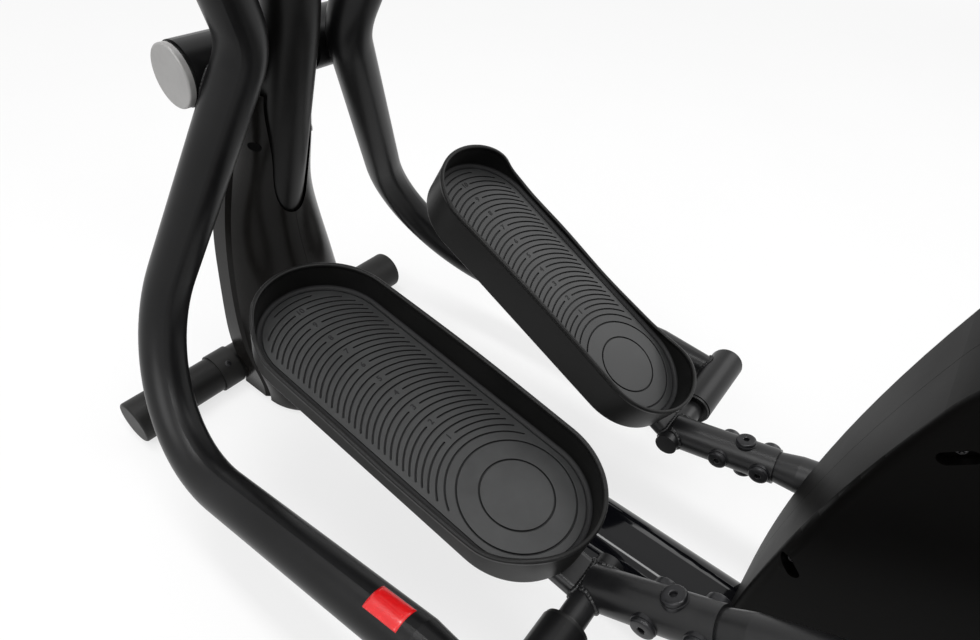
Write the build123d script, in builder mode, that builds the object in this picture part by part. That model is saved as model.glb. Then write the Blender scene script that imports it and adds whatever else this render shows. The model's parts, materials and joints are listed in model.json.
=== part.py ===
"""Elliptical trainer: a rear crank drives two bent pedal links, carried at the heel by swinging arms.

Millimetres. +X points forward to the console, +Y to the left, +Z up. The origin lies on the floor,
midway between the two stabilizers. The pose is one half turn apart: left crank up, right crank down.
"""
import os
from math import atan2, cos, degrees, hypot, radians, sin, sqrt, tan

from build123d import *

os.makedirs("parts", exist_ok=True)

# Fits
slip = 0.2
running = 0.05
press = 0.02
side_gap = 0.4

# Base frame
wheelbase = 1240.0
stabilizer_span = 470.0
stabilizer_radius = 26.0
stabilizer_wall = 2.5
cap_radius = 30.0
cap_length = 65.0
cap_end_wall = 5.0
cap_edge = 3.0
floor_flat = 1.0
collar_radius = 28.5
collar_length = 30.0
collar_gap = 2.5
rail_width = 84.0
rail_height = 66.0
rail_corner = 30.0
rail_wall = 3.0
rail_underside = 42.0

# Mast and its shroud
mast_foot_back = 4.0
mast_lean = 17.1
mast_bend_height = 530.0
mast_bend_radius = 240.0
mast_upper_lean = 3.0
mast_radius = 28.0
mast_wall = 2.5
mast_top = 1330.0
mast_boss_radius = 19.0
mast_boss_half = 38.0
shroud_wall = 3.0
shroud_seam = 0.4
shroud_mast_gap = 3.0
shroud_groove_width = 12.0
shroud_groove_depth = 5.0
shroud_foot_width = 160.0
shroud_hip_width = 166.0
shroud_flare_width = 146.0
shroud_waist_width = 116.0
shroud_neck_width = 94.0
shroud_collar_width = 86.0
shroud_head_width = 78.0
shroud_floor = 4.0
shroud_flare = 200.0
shroud_waist = 290.0
shroud_neck = 345.0
shroud_collar = 393.0
shroud_head = 441.0

# Swinging arms, seen from their pivot: the heel joint lies behind and below it
pivot_x = 536.0
pivot_height = 472.0
axle_radius = 12.5
pivot_sleeve_radius = 30.0
pivot_sleeve_inner = 44.0
pivot_sleeve_outer = 97.0
pivot_cap_radius = 29.0
pivot_cap_length = 6.6
pivot_cap_edge = 2.0
arm_radius = 23.6
arm_wall = 2.5
arm_swage = 85.0
arm_end_radius = 14.0
arm_reach_back = 525.0
arm_drop = 266.9
arm_run_y = 252.0
arm_knee_forward = 27.1
arm_knee_drop = 365.4
arm_knee_radius = 144.0
arm_neck_back = 52.9
arm_neck_y = 57.5
arm_neck_rise = 32.0
arm_neck_radius = 60.0
arm_top_back = 72.4
arm_top_y = 96.0
arm_top_rise = 140.0
heel_sleeve_radius = 20.8
heel_sleeve_inner = 175.0
heel_sleeve_outer = 277.0
bush_wall = 3.5
bush_length = 24.0
bush_flange = 3.0
bush_flange_step = 2.0

# Moving handlebars, from the top of the arms
handle_radius = 17.0
handle_wall = 2.0
socket_depth = 60.0
socket_collar = 12.0
handle_bend_radius = 110.0
handle_bow_back = 8.0
handle_bow_y = 165.0
handle_bow_rise = 360.0
handle_width = 246.0
handle_elbow_rise = 630.0
handle_elbow_back = 192.0
handle_top_rise = 940.0
handle_top_back = 152.0
grip_length = 260.0
grip_thickness = 5.0

# Pedal links, seen from the heel joint
link_length = 430.0
link_angle = 41.7
link_y = 127.5
link_radius = 19.0
link_wall = 2.5
link_front_length = 113.0
link_overlap = 78.0
link_neck = 22.0
link_rear_radius = 19.5
eye_radius = 23.0
eye_length = 40.0
stub_end = 100.0
support_width = 38.0
support_height = 16.0
support_corner = 6.0
support_length = 330.0
bolt_radius = 5.0
bolt_head_radius = 9.5
bolt_head = 5.0
bolt_pitch = 22.0
bolt_edge = 12.0

# Pedals: a stadium tray with a tall inner wall and a low outer wall
pedal_y = 120.0
pedal_length = 380.0
pedal_width = 140.0
pedal_heel = 25.0
pedal_wall = 4.0
pedal_bottom = 5.0
pedal_skirt = 10.0
pedal_floor = 4.0
mat_thickness = 4.0
end_rim = 30.0
inner_rim = 34.0
rim_stock = 2.0
tray_edge = 5.0
rib_thickness = 3.0
rib_count = 5
heel_pad_radius = 56.0
heel_pad_rise = 0.6

# Crank and drive
crank_x = -364.0
crank_height = 347.0
crank_radius = 85.4
crank_angle = 83.5
crank_arm_inner = 74.0
crank_arm_thickness = 16.0
crank_boss = 24.0
crank_eye = 19.0
crank_pin_radius = 10.0
crank_chamfer = 1.5
belt_y = 28.0
belt_width = 12.0
belt_thickness = 3.0
pulley_radius = 100.0
pulley_width = 14.0
pulley_rim = 8.0
pulley_web = 4.0
pulley_windows = 6
window_circle = 60.0
window_radius = 19.0
flywheel_back = 154.0
flywheel_drop = 47.0
flywheel_radius = 105.0
flywheel_width = 24.0
flywheel_y = -4.0
flywheel_rim = 25.2
flywheel_web = 8.0
flywheel_hub_step = 6.0
flywheel_pulley_radius = 22.0
flywheel_axle_radius = 8.0
bearing_radius = 23.5
bearing_width = 12.0
shell_wall = 4.5
shell_belt_gap = 5.0
shell_right = -50.0
fork_plate = 6.0
fork_gap = 4.0
fork_boss = 2.4
base_plate = 6.0
upright_depth = 50.0
brake_gap = 4.0
brake_thickness = 6.0
brake_start = 46.0
brake_sweep = 84.0
brake_lip = 4.0
brake_eye = 9.0
magnet_thickness = 2.5
magnet_starts = (0.22, 0.48, 0.74)
magnet_share = 0.16
brake_pin_radius = 4.0

# Drive housing
housing_front = 275.5
housing_front_height = 215.0
housing_front_radius = 1250.0
housing_rear = 250.0
housing_bulge = 14.0
housing_underside = 62.0
housing_top = 545.0
housing_crown = 30.0
housing_corner = 120.0
housing_foot_corner = 34.0
housing_half = 66.0
housing_edge = 9.0
housing_wall = 3.5
housing_seam = 0.4
recess_length = 22.0
recess_width = 9.0
recess_depth = 9.0
recess_inset = 11.0
recess_height = 290.0
axle_window = 28.0

# Fixed handlebar, tension knob and console
bar_height = 1120.0
bar_radius = 14.0
bar_wall = 2.0
bar_width = 300.0
bar_reach = 150.0
bar_rise = 60.0
bar_bend = 45.0
clamp_block = 44.0
pulse_length = 110.0
pulse_thickness = 2.5
knob_height = 800.0
knob_radius = 24.0
knob_length = 26.0
knob_base = 8.0
knob_flutes = 12
console_tilt = 48.0
console_width = 250.0
console_depth = 170.0
console_thickness = 40.0
console_corner = 30.0
console_draft = 8.0
console_edge = 5.0
bracket_rise = 34.0
bracket_plate = 4.0
bracket_corner = 8.0
screen_width = 140.0
screen_depth = 74.0
screen_recess = 3.0
screen_shift = 23.8
button_row = -51.0
button_radius = 10.0
button_pitch = 46.0
button_travel = 2.0
button_height = 6.0
button_edge = 1.0

# Places worked out from the sizes above
front_x = wheelbase / 2
rear_x = -wheelbase / 2
stabilizer_z = cap_radius - floor_flat
stabilizer_half = stabilizer_span / 2
stabilizer_hole = stabilizer_radius + slip
rail_top = rail_underside + rail_height
rail_mid = rail_underside + rail_height / 2
lean_slope = tan(radians(mast_lean))
upper_slope = tan(radians(mast_upper_lean))


def mast_x(height):
    """Where the mast's axis stands at a height: leaning back to the bend, then nearly upright."""
    lower = min(height, mast_bend_height) - rail_top
    upper = max(height - mast_bend_height, 0)
    return front_x - mast_foot_back - lower * lean_slope - upper * upper_slope


mast_up = Vector(-sin(radians(mast_upper_lean)), 0, cos(radians(mast_upper_lean)))
mast_rear = Vector(-cos(radians(mast_upper_lean)), 0, -sin(radians(mast_upper_lean)))
flywheel_x = crank_x + flywheel_back
flywheel_z = crank_height - flywheel_drop
link_dir = Vector(-cos(radians(link_angle)), 0, sin(radians(link_angle)))
link_normal = Vector(sin(radians(link_angle)), 0, cos(radians(link_angle)))
sides = {"left": 1, "right": -1}


def solve_side(side):
    """Swing of the arm and pitch of the pedal that close one linkage at the crank pin."""
    pin_x = crank_x + side * crank_radius * cos(radians(crank_angle))
    pin_z = crank_height + side * crank_radius * sin(radians(crank_angle))
    reach = hypot(arm_reach_back, arm_drop)
    span = hypot(pin_x - pivot_x, pin_z - pivot_height)
    along = (reach**2 - link_length**2 + span**2) / (2 * span)
    across = sqrt(reach**2 - along**2)
    ux = (pin_x - pivot_x) / span
    uz = (pin_z - pivot_height) / span
    heel_x = pivot_x + along * ux - across * uz
    heel_z = pivot_height + along * uz + across * ux
    swing = degrees(atan2(heel_z - pivot_height, heel_x - pivot_x) - atan2(-arm_drop, -arm_reach_back))
    pitch = link_angle - degrees(atan2(pin_z - heel_z, heel_x - pin_x))
    return heel_x, heel_z, swing, pitch


def arm_place(side):
    """Place of an arm's own frame, at the pivot."""
    swing = solve_side(side)[2]
    return Location((pivot_x, 0, pivot_height), (0, -swing, 0))


def link_place(side):
    """Place of a pedal link's own frame, at the heel joint with +X along the pedal."""
    heel_x, heel_z, swing, pitch = solve_side(side)
    return Location((heel_x, 0, heel_z), (0, -pitch, 0))


def save(part, name):
    """Write one finished piece."""
    part.label = name
    export_step(part, f"parts/{name}.step")


def rod(start, end, radius, mode=Mode.ADD):
    """Round bar from one point to another."""
    run = Vector(end) - Vector(start)
    with Locations(Plane(origin=start, z_dir=run).location):
        Cylinder(radius, run.length, align=(Align.CENTER, Align.CENTER, Align.MIN), mode=mode)


def taper(start, end, start_radius, end_radius, mode=Mode.ADD):
    """Round tapered bar from one point to another."""
    run = Vector(end) - Vector(start)
    from_start = (Align.CENTER, Align.CENTER, Align.MIN)
    with Locations(Plane(origin=start, z_dir=run).location):
        Cone(start_radius, end_radius, run.length, align=from_start, mode=mode)


def rod_y(x, z, y_from, y_to, radius, mode=Mode.ADD):
    """Round bar across the machine."""
    rod((x, y_from, z), (x, y_to, z), radius, mode)


# Main rail: a flat oval tube, coped over both stabilizers
with BuildPart() as main_rail:
    with BuildSketch(Plane.YZ.offset(rear_x)):
        with Locations((0, rail_mid)):
            RectangleRounded(rail_width, rail_height, rail_corner)
            RectangleRounded(
                rail_width - 2 * rail_wall,
                rail_height - 2 * rail_wall,
                rail_corner - rail_wall,
                mode=Mode.SUBTRACT,
            )
    extrude(amount=wheelbase)
    for x in (rear_x, front_x):
        rod_y(x, stabilizer_z, -rail_width, rail_width, stabilizer_hole, Mode.SUBTRACT)
save(main_rail.part, "main_rail")


def stabilizer(x):
    """Cross tube that stands the machine on the floor."""
    tube_half = stabilizer_half - cap_end_wall
    with BuildPart() as tube:
        rod_y(x, stabilizer_z, -tube_half, tube_half, stabilizer_radius)
        rod_y(x, stabilizer_z, -tube_half, tube_half, stabilizer_radius - stabilizer_wall, Mode.SUBTRACT)
    return tube.part


def end_caps(x):
    """Two cup caps on a stabilizer, flattened where they stand on the floor."""
    inner = stabilizer_half - cap_length
    floor_of_cup = stabilizer_half - cap_end_wall
    with BuildPart() as caps:
        for side in sides.values():
            rod_y(x, stabilizer_z, side * inner, side * stabilizer_half, cap_radius)
        outer_edges = caps.edges().filter_by(GeomType.CIRCLE).filter_by_position(
            Axis.Y, -stabilizer_half - slip, -stabilizer_half + slip
        ) + caps.edges().filter_by(GeomType.CIRCLE).filter_by_position(
            Axis.Y, stabilizer_half - slip, stabilizer_half + slip
        )
        fillet(outer_edges, cap_edge)
        for side in sides.values():
            rod_y(x, stabilizer_z, side * inner, side * floor_of_cup, stabilizer_hole, Mode.SUBTRACT)
        split(bisect_by=Plane.XY, keep=Keep.TOP)
    return caps.part


save(stabilizer(front_x), "front_stabilizer")
save(stabilizer(rear_x), "rear_stabilizer")
save(end_caps(front_x), "front_end_caps")
save(end_caps(rear_x), "rear_end_caps")

# Collars that close the gap between the front stabilizer and the shroud
collar_start = shroud_foot_width / 2 + collar_gap
with BuildPart() as stabilizer_collars:
    for side in sides.values():
        start = side * collar_start
        end = side * (collar_start + collar_length)
        rod_y(front_x, stabilizer_z, start, end, collar_radius)
        rod_y(front_x, stabilizer_z, start, end, stabilizer_hole, Mode.SUBTRACT)
save(stabilizer_collars.part, "stabilizer_collars")

# Mast: one bent tube, coped onto the rail, with a cross boss on its front for the pivot axle
mast_foot = Vector(mast_x(rail_top), 0, rail_top)
mast_bend = Vector(mast_x(mast_bend_height), 0, mast_bend_height)
mast_head = Vector(mast_x(mast_top), 0, mast_top)
mast_start = mast_foot - (mast_bend - mast_foot).normalized() * mast_radius
with BuildPart() as mast:
    with BuildLine() as mast_route:
        FilletPolyline(mast_start, mast_bend, mast_head, radius=mast_bend_radius)
    with BuildSketch(Plane(origin=mast_route.line @ 0, z_dir=mast_route.line % 0)):
        Circle(mast_radius)
    sweep()
    rod_y(pivot_x, pivot_height, -mast_boss_half, mast_boss_half, mast_boss_radius)
    with BuildLine() as bore_route:
        FilletPolyline(mast_start, mast_bend, mast_head, radius=mast_bend_radius)
    with BuildSketch(Plane(origin=bore_route.line @ 0, z_dir=bore_route.line % 0)):
        Circle(mast_radius - mast_wall)
    sweep(mode=Mode.SUBTRACT)
    with BuildSketch(Plane.YZ.offset(rear_x)):
        with Locations((0, rail_mid)):
            RectangleRounded(rail_width + 2 * slip, rail_height + 2 * slip, rail_corner + slip)
    extrude(amount=2 * wheelbase, mode=Mode.SUBTRACT)
    rod_y(pivot_x, pivot_height, -mast_boss_half, mast_boss_half, axle_radius + running, Mode.SUBTRACT)
save(mast.part, "mast")

# Shroud sections from the floor up: height, width, then its rear, crease, corner and front from the axle
shroud_levels = (
    (shroud_floor, shroud_foot_width, -158.0, -78.0, -20.0, 27.0),
    (rail_mid - slip, shroud_hip_width, -133.0, -65.0, -18.0, 29.6),
    (rail_top + slip, shroud_hip_width, -119.0, -58.0, -16.0, 29.6),
    (shroud_flare, shroud_flare_width, -104.0, -47.0, -11.0, 25.0),
    (shroud_waist, shroud_waist_width, -92.0, -47.0, -12.0, 14.0),
    (shroud_neck, shroud_neck_width, -103.0, -54.0, -24.0, -8.0),
    (shroud_collar, shroud_collar_width, -115.0, -67.0, -38.0, -24.0),
    (shroud_head, shroud_head_width, -125.5, -80.0, -52.0, -40.0),
)


def shroud_outline(level):
    """Closed outline of the shroud at one height: round behind, a groove down each side, round in front."""
    height, width = level[:2]
    rear, crease, corner, front = [front_x + offset_x for offset_x in level[2:]]
    half = width / 2
    groove = (crease + shroud_groove_width / 2, half - shroud_groove_depth)
    lip = (crease + shroud_groove_width, half)
    with BuildSketch(Plane.XY.offset(height)) as outline:
        with BuildLine():
            ThreePointArc((crease, -half), (rear, 0), (crease, half))
            Polyline((crease, half), groove, lip, (corner, half))
            ThreePointArc((corner, half), (front, 0), (corner, -half))
            Polyline((corner, -half), (lip[0], -lip[1]), (groove[0], -groove[1]), (crease, -half))
        make_face()
    return outline.sketch


def shroud_hollow(level):
    """Outline of the space inside the shroud at one height."""
    height, width = level[:2]
    rear, crease, corner, front = [front_x + offset_x for offset_x in level[2:]]
    half = width / 2 - shroud_groove_depth - shroud_wall
    with BuildSketch(Plane.XY.offset(height)) as outline:
        with BuildLine():
            ThreePointArc((crease, -half), (rear + shroud_wall, 0), (crease, half))
            Line((crease, half), (corner, half))
            ThreePointArc((corner, half), (front - shroud_wall, 0), (corner, -half))
            Line((corner, -half), (crease, -half))
        make_face()
    return outline.sketch


def shroud_half(side):
    """One moulded half of the shroud; the leaning mast comes out through its back in a tongue shape."""
    with BuildPart() as half:
        loft([shroud_outline(level) for level in shroud_levels])
        loft([shroud_hollow(level) for level in shroud_levels], mode=Mode.SUBTRACT)
        tongue_start = (mast_x(shroud_flare), 0, shroud_flare)
        rod(tongue_start, mast_bend, mast_radius + shroud_mast_gap, Mode.SUBTRACT)
        rod_y(front_x, stabilizer_z, -stabilizer_half, stabilizer_half, stabilizer_hole, Mode.SUBTRACT)
        with Locations((front_x, 0, 0)):
            front_low = (Align.MIN, Align.CENTER, Align.MIN)
            Box(2 * stabilizer_hole, stabilizer_span, stabilizer_z, align=front_low, mode=Mode.SUBTRACT)
        with BuildSketch(Plane.YZ):
            with Locations((0, rail_mid)):
                RectangleRounded(rail_width + 2 * slip, rail_height + 2 * slip, rail_corner + slip)
        extrude(amount=front_x, mode=Mode.SUBTRACT)
        split(bisect_by=Plane.XZ.offset(-side * shroud_seam / 2), keep=Keep.BOTTOM if side > 0 else Keep.TOP)
    return half.part


for name, side in sides.items():
    save(shroud_half(side), f"shroud_{name}")

# Pivot axle through the mast, with its spacers and bright end caps
axle_end = pivot_sleeve_outer + bush_flange + side_gap + pivot_cap_length / 2
with BuildPart() as pivot_axle:
    rod_y(pivot_x, pivot_height, -axle_end, axle_end, axle_radius)
save(pivot_axle.part, "pivot_axle")

with BuildPart() as pivot_spacers:
    for side in sides.values():
        inner = side * (mast_boss_half + slip)
        outer = side * (pivot_sleeve_inner - bush_flange - side_gap)
        rod_y(pivot_x, pivot_height, inner, outer, axle_radius + bush_wall)
        rod_y(pivot_x, pivot_height, inner, outer, axle_radius + running, Mode.SUBTRACT)
save(pivot_spacers.part, "pivot_spacers")

with BuildPart() as pivot_caps:
    for side in sides.values():
        inner = side * (pivot_sleeve_outer + bush_flange + side_gap)
        outer = side * (pivot_sleeve_outer + bush_flange + side_gap + pivot_cap_length)
        rod_y(pivot_x, pivot_height, inner, outer, pivot_cap_radius)
    rims = pivot_caps.edges().filter_by(GeomType.CIRCLE).sort_by(Axis.Y)
    fillet([rims[0], rims[-1]], pivot_cap_edge)
    rod_y(pivot_x, pivot_height, -axle_end, axle_end, axle_radius + running, Mode.SUBTRACT)
save(pivot_caps.part, "pivot_caps")

# Arms in their own frame, with the pivot at the origin
heel_back = -arm_reach_back
heel_low = -arm_drop
bush_bore = axle_radius + running
sleeve_bore = bush_bore + bush_wall
pivot_flange = pivot_cap_radius - bush_flange_step
heel_flange = heel_sleeve_radius - bush_flange_step / 2


def swing_arm(side):
    """Bent tube with a pivot sleeve at its neck and a swaged end in a cross sleeve at the heel."""
    heel = Vector(heel_back, side * arm_run_y, heel_low)
    knee = Vector(arm_knee_forward, side * arm_run_y, -arm_knee_drop)
    run = (knee - heel).normalized()
    tip = heel + run * (heel_sleeve_radius / 4)
    swage_start = heel + run * arm_swage
    neck = (-arm_neck_back, side * arm_neck_y, arm_neck_rise)
    top = (-arm_top_back, side * arm_top_y, arm_top_rise)
    with BuildPart() as arm:
        with BuildLine() as route:
            FilletPolyline(swage_start, knee, neck, top, radius=[arm_knee_radius, arm_neck_radius])
        with BuildSketch(Plane(origin=route.line @ 0, z_dir=route.line % 0)):
            Circle(arm_radius)
            Circle(arm_radius - arm_wall, mode=Mode.SUBTRACT)
        sweep()
        taper(tip, swage_start, arm_end_radius, arm_radius)
        taper(tip, swage_start, arm_end_radius - arm_wall, arm_radius - arm_wall, Mode.SUBTRACT)
        rod_y(0, 0, side * pivot_sleeve_inner, side * pivot_sleeve_outer, pivot_sleeve_radius)
        rod_y(heel_back, heel_low, side * heel_sleeve_inner, side * heel_sleeve_outer, heel_sleeve_radius)
        bore = sleeve_bore + press
        rod_y(0, 0, side * pivot_sleeve_inner, side * pivot_sleeve_outer, bore, Mode.SUBTRACT)
        rod_y(heel_back, heel_low, side * heel_sleeve_inner, side * heel_sleeve_outer, bore, Mode.SUBTRACT)
    return arm.part


def arm_bushes(side):
    """Flanged bushes: two in the pivot sleeve and two in the heel sleeve, the outer one capped."""
    seats = (
        (0, 0, pivot_sleeve_inner, 1, pivot_flange),
        (0, 0, pivot_sleeve_outer, -1, pivot_flange),
        (heel_back, heel_low, heel_sleeve_inner, 1, heel_flange),
        (heel_back, heel_low, heel_sleeve_outer, -1, heel_flange),
    )
    with BuildPart() as bushes:
        for x, z, face, inward, flange_radius in seats:
            rod_y(x, z, side * face, side * (face + inward * bush_length), sleeve_bore)
            rod_y(x, z, side * face, side * (face - inward * bush_flange), flange_radius)
            rod_y(
                x,
                z,
                side * (face - inward * bush_flange),
                side * (face + inward * bush_length),
                bush_bore,
                Mode.SUBTRACT,
            )
        cap_face = heel_sleeve_outer + bush_flange
        cap_back = cap_face - bush_flange / 2
        rod_y(heel_back, heel_low, side * cap_face, side * cap_back, heel_flange)
    return bushes.part


def moving_handle_path(side):
    """Corner points of a moving handlebar, from its plug in the arm to its top."""
    return (
        Vector(-arm_top_back, side * arm_top_y, arm_top_rise),
        Vector(-arm_top_back - handle_bow_back, side * handle_bow_y, handle_bow_rise),
        Vector(-handle_elbow_back, side * handle_width, handle_elbow_rise),
        Vector(-handle_top_back, side * handle_width, handle_top_rise),
    )


def plug_direction(side):
    """Direction of the arm's open top end."""
    neck = Vector(-arm_neck_back, side * arm_neck_y, arm_neck_rise)
    return (Vector(-arm_top_back, side * arm_top_y, arm_top_rise) - neck).normalized()


def moving_handle(side):
    """Bowed handlebar tube with a plug that slides into the arm."""
    points = moving_handle_path(side)
    seat = points[0] + plug_direction(side) * slip
    with BuildPart() as handle:
        with BuildLine() as route:
            FilletPolyline(*points, radius=handle_bend_radius)
        with BuildSketch(Plane(origin=route.line @ 0, z_dir=route.line % 0)):
            Circle(handle_radius)
            Circle(handle_radius - handle_wall, mode=Mode.SUBTRACT)
        sweep()
        plug_tip = points[0] - plug_direction(side) * (socket_depth - slip)
        rod(plug_tip, points[0], arm_radius - arm_wall - slip)
        rod(seat, seat + plug_direction(side) * socket_collar, arm_radius)
    return handle.part


def handle_grip(side):
    """Foam sleeve over the top of a moving handlebar, closed by a domed end."""
    points = moving_handle_path(side)
    along = (points[3] - points[2]).normalized()
    outer = handle_radius + grip_thickness
    tip = points[3] + along * grip_thickness
    with BuildPart() as grip:
        rod(points[3] - along * grip_length, tip, outer)
        fillet(grip.edges().filter_by(GeomType.CIRCLE), grip_thickness * 0.8)
        rod(points[3] - along * grip_length, points[3] + along * slip, handle_radius + slip, Mode.SUBTRACT)
    return grip.part


# Pedal links in their own frame, with the heel joint at the origin and +X along the pedal
bolt_first = link_front_length - bolt_edge - 2 * bolt_pitch
link_bolt_places = (bolt_first, bolt_first + 2 * bolt_pitch)
link_clamp_place = bolt_first + bolt_pitch
link_bore = link_radius - link_wall


def link_point(along, side, lift=0.0, out=0.0):
    """Point on a link tube: distance from the heel joint, lift above its axis, shift outwards."""
    spot = link_dir * along + link_normal * lift
    return Vector(spot.X, side * (link_y + out), spot.Z)


def drill_bolts(side, radius, reach):
    """Cross-drill a link tube for its three bolts."""
    for place in link_bolt_places:
        rod(link_point(place, side, 0, -reach), link_point(place, side, 0, reach), radius, Mode.SUBTRACT)
    low = link_point(link_clamp_place, side, -reach)
    rod(low, link_point(link_clamp_place, side, reach), radius, Mode.SUBTRACT)


def link_front(side):
    """Welded T: heel axle, clamp tube towards the crank and a flat-oval support under the pedal."""
    axle_tip = heel_sleeve_outer + bush_flange / 2 - side_gap
    support_top = pedal_bottom - slip
    with BuildPart() as link:
        rod(link_point(0, side), link_point(link_front_length, side), link_radius)
        with BuildSketch(Plane.YZ.offset(-support_height / 2)):
            with Locations((side * link_y, support_top - support_height / 2)):
                RectangleRounded(support_width, support_height, support_corner)
        extrude(amount=support_length)
        rod_y(0, 0, side * stub_end, side * axle_tip, axle_radius)
        bore_end = link_point(link_front_length - link_overlap, side)
        rod(bore_end, link_point(link_front_length, side), link_bore, Mode.SUBTRACT)
        drill_bolts(side, bolt_radius + running, link_radius)
    return link.part


def link_rear(side):
    """Rear link tube, necked to slide into the clamp tube, with the crank-pin eye at its end."""
    inner_radius = link_bore - running
    neck_end = link_front_length + link_neck
    with BuildPart() as link:
        tip = link_point(link_front_length - link_overlap + slip, side)
        mouth = link_point(link_front_length, side)
        rod(tip, mouth, inner_radius)
        taper(mouth, link_point(neck_end, side), inner_radius, link_rear_radius)
        rod(link_point(neck_end, side), link_point(link_length, side), link_rear_radius)
        bore_end = link_point(link_length - eye_radius, side)
        rod(link_point(neck_end, side), bore_end, link_rear_radius - link_wall, Mode.SUBTRACT)
        eye = link_point(link_length, side)
        rod_y(eye.X, eye.Z, eye.Y - eye_length / 2, eye.Y + eye_length / 2, eye_radius)
        rod_y(eye.X, eye.Z, eye.Y - eye_length / 2, eye.Y + eye_length / 2, crank_pin_radius + running,
              Mode.SUBTRACT)
        drill_bolts(side, bolt_radius + running, link_radius)
    return link.part


def crank_pin(side):
    """Shouldered pin held in the eye; its tip stops just short of the crank arm."""
    eye = link_point(link_length, side)
    arm_face = side * (crank_arm_inner + crank_arm_thickness + side_gap)
    eye_outer = side * (link_y + eye_length / 2)
    head_end = eye_outer + side * bolt_head
    with BuildPart() as pin:
        rod_y(eye.X, eye.Z, arm_face, eye_outer, crank_pin_radius)
        rod_y(eye.X, eye.Z, eye_outer, head_end, eye_radius - link_wall)
        eye_inner = side * (link_y - eye_length / 2)
        rod_y(eye.X, eye.Z, arm_face, eye_inner, crank_pin_radius + link_wall)
    return pin.part


def link_bolts(side):
    """Two cross bolts and one clamp bolt, with round heads at both ends."""
    with BuildPart() as bolts:
        spans = []
        for place in link_bolt_places:
            spans.append((link_point(place, side, 0, -link_radius), link_point(place, side, 0, link_radius)))
        low = link_point(link_clamp_place, side, -link_radius)
        spans.append((low, link_point(link_clamp_place, side, link_radius)))
        for start, end in spans:
            run = (end - start).normalized()
            rod(start, end, bolt_radius)
            rod(start - run * bolt_head, start, bolt_head_radius)
            rod(end, end + run * bolt_head, bolt_head_radius)
    return bolts.part


# Pedals in the same frame as the links
pedal_mid = pedal_heel + pedal_length / 2
floor_top = pedal_bottom + pedal_skirt + pedal_floor
mat_top = floor_top + mat_thickness
rim_top = mat_top + inner_rim + rim_stock

# Rim heights over the mat, at distances from the heel end: the outer wall sags between its two ends
inner_crown = ((pedal_length / 2, inner_rim),)
outer_sag = ((57.0, 12.0), (105.0, 6.0), (165.0, 4.0), (250.0, 6.5), (335.0, 14.0))


def rim_cut(side, outward, heights):
    """Solid above one wall of the tray, with a smooth underside through the given heights."""
    toe = pedal_heel + pedal_length
    over = rim_top + pedal_width
    start_y = side * pedal_y
    far_y = side * outward * pedal_width
    with BuildPart() as cutter:
        with BuildSketch(Plane.XZ.offset(-start_y)):
            with BuildLine():
                heel_point = (pedal_heel, mat_top + end_rim)
                toe_point = (toe, mat_top + end_rim)
                between = [(pedal_heel + along, mat_top + height) for along, height in heights]
                Spline(heel_point, *between, toe_point, tangents=((1, 0), (1, 0)))
                Polyline(
                    toe_point,
                    (toe + pedal_wall, mat_top + end_rim),
                    (toe + pedal_wall, over),
                    (pedal_heel - pedal_wall, over),
                    (pedal_heel - pedal_wall, mat_top + end_rim),
                    heel_point,
                )
            make_face()
        extrude(amount=-far_y)
    return cutter.part


def pedal_tray(side):
    """Moulded tray: stadium wall, raised floor, ribbed underside, low outer rim and tall inner rim."""
    centre = (pedal_mid, side * pedal_y)
    inner_length = pedal_length - 2 * pedal_wall
    inner_width = pedal_width - 2 * pedal_wall
    with BuildPart() as tray:
        with BuildSketch(Plane.XY.offset(pedal_bottom)):
            with Locations(centre):
                SlotOverall(pedal_length, pedal_width)
        extrude(amount=rim_top - pedal_bottom)
        fillet(tray.faces().sort_by(Axis.Z)[0].edges(), tray_edge)
        with BuildSketch(Plane.XY.offset(floor_top)):
            with Locations(centre):
                SlotOverall(inner_length, inner_width)
        extrude(amount=rim_top - floor_top, mode=Mode.SUBTRACT)
        with BuildSketch(Plane.XY.offset(pedal_bottom)):
            with Locations(centre):
                SlotOverall(inner_length - 2 * tray_edge, inner_width - 2 * tray_edge)
                with GridLocations(inner_length / (rib_count + 1), 0, rib_count, 1):
                    Rectangle(rib_thickness, inner_width, mode=Mode.SUBTRACT)
                Rectangle(inner_length, rib_thickness, mode=Mode.SUBTRACT)
        extrude(amount=pedal_skirt, mode=Mode.SUBTRACT)
        add(rim_cut(side, 1, outer_sag), mode=Mode.SUBTRACT)
        add(rim_cut(side, -1, inner_crown), mode=Mode.SUBTRACT)
    return tray.part


def pedal_mat(side):
    """Rubber mat on the tray's floor, with a slightly raised round heel pad."""
    mat_length = pedal_length - 2 * pedal_wall - 2 * side_gap
    mat_width = pedal_width - 2 * pedal_wall - 2 * side_gap
    with BuildPart() as mat:
        with BuildSketch(Plane.XY.offset(floor_top)):
            with Locations((pedal_mid, side * pedal_y)):
                SlotOverall(mat_length, mat_width)
        extrude(amount=mat_thickness)
        with BuildSketch(Plane.XY.offset(mat_top)):
            with Locations((pedal_heel + pedal_width / 2, side * pedal_y)):
                Circle(heel_pad_radius)
        extrude(amount=heel_pad_rise)
    return mat.part


for name, side in sides.items():
    at_pivot = arm_place(side)
    at_heel = link_place(side)
    save(swing_arm(side).moved(at_pivot), f"{name}_swing_arm")
    save(arm_bushes(side).moved(at_pivot), f"{name}_arm_bushes")
    save(moving_handle(side).moved(at_pivot), f"{name}_moving_handle")
    save(handle_grip(side).moved(at_pivot), f"{name}_handle_grip")
    save(link_front(side).moved(at_heel), f"{name}_link_front")
    save(link_rear(side).moved(at_heel), f"{name}_link_rear")
    save(link_bolts(side).moved(at_heel), f"{name}_link_bolts")
    save(crank_pin(side).moved(at_heel), f"{name}_crank_pin")
    save(pedal_tray(side).moved(at_heel), f"{name}_pedal_tray")
    save(pedal_mat(side).moved(at_heel), f"{name}_pedal_mat")

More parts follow.
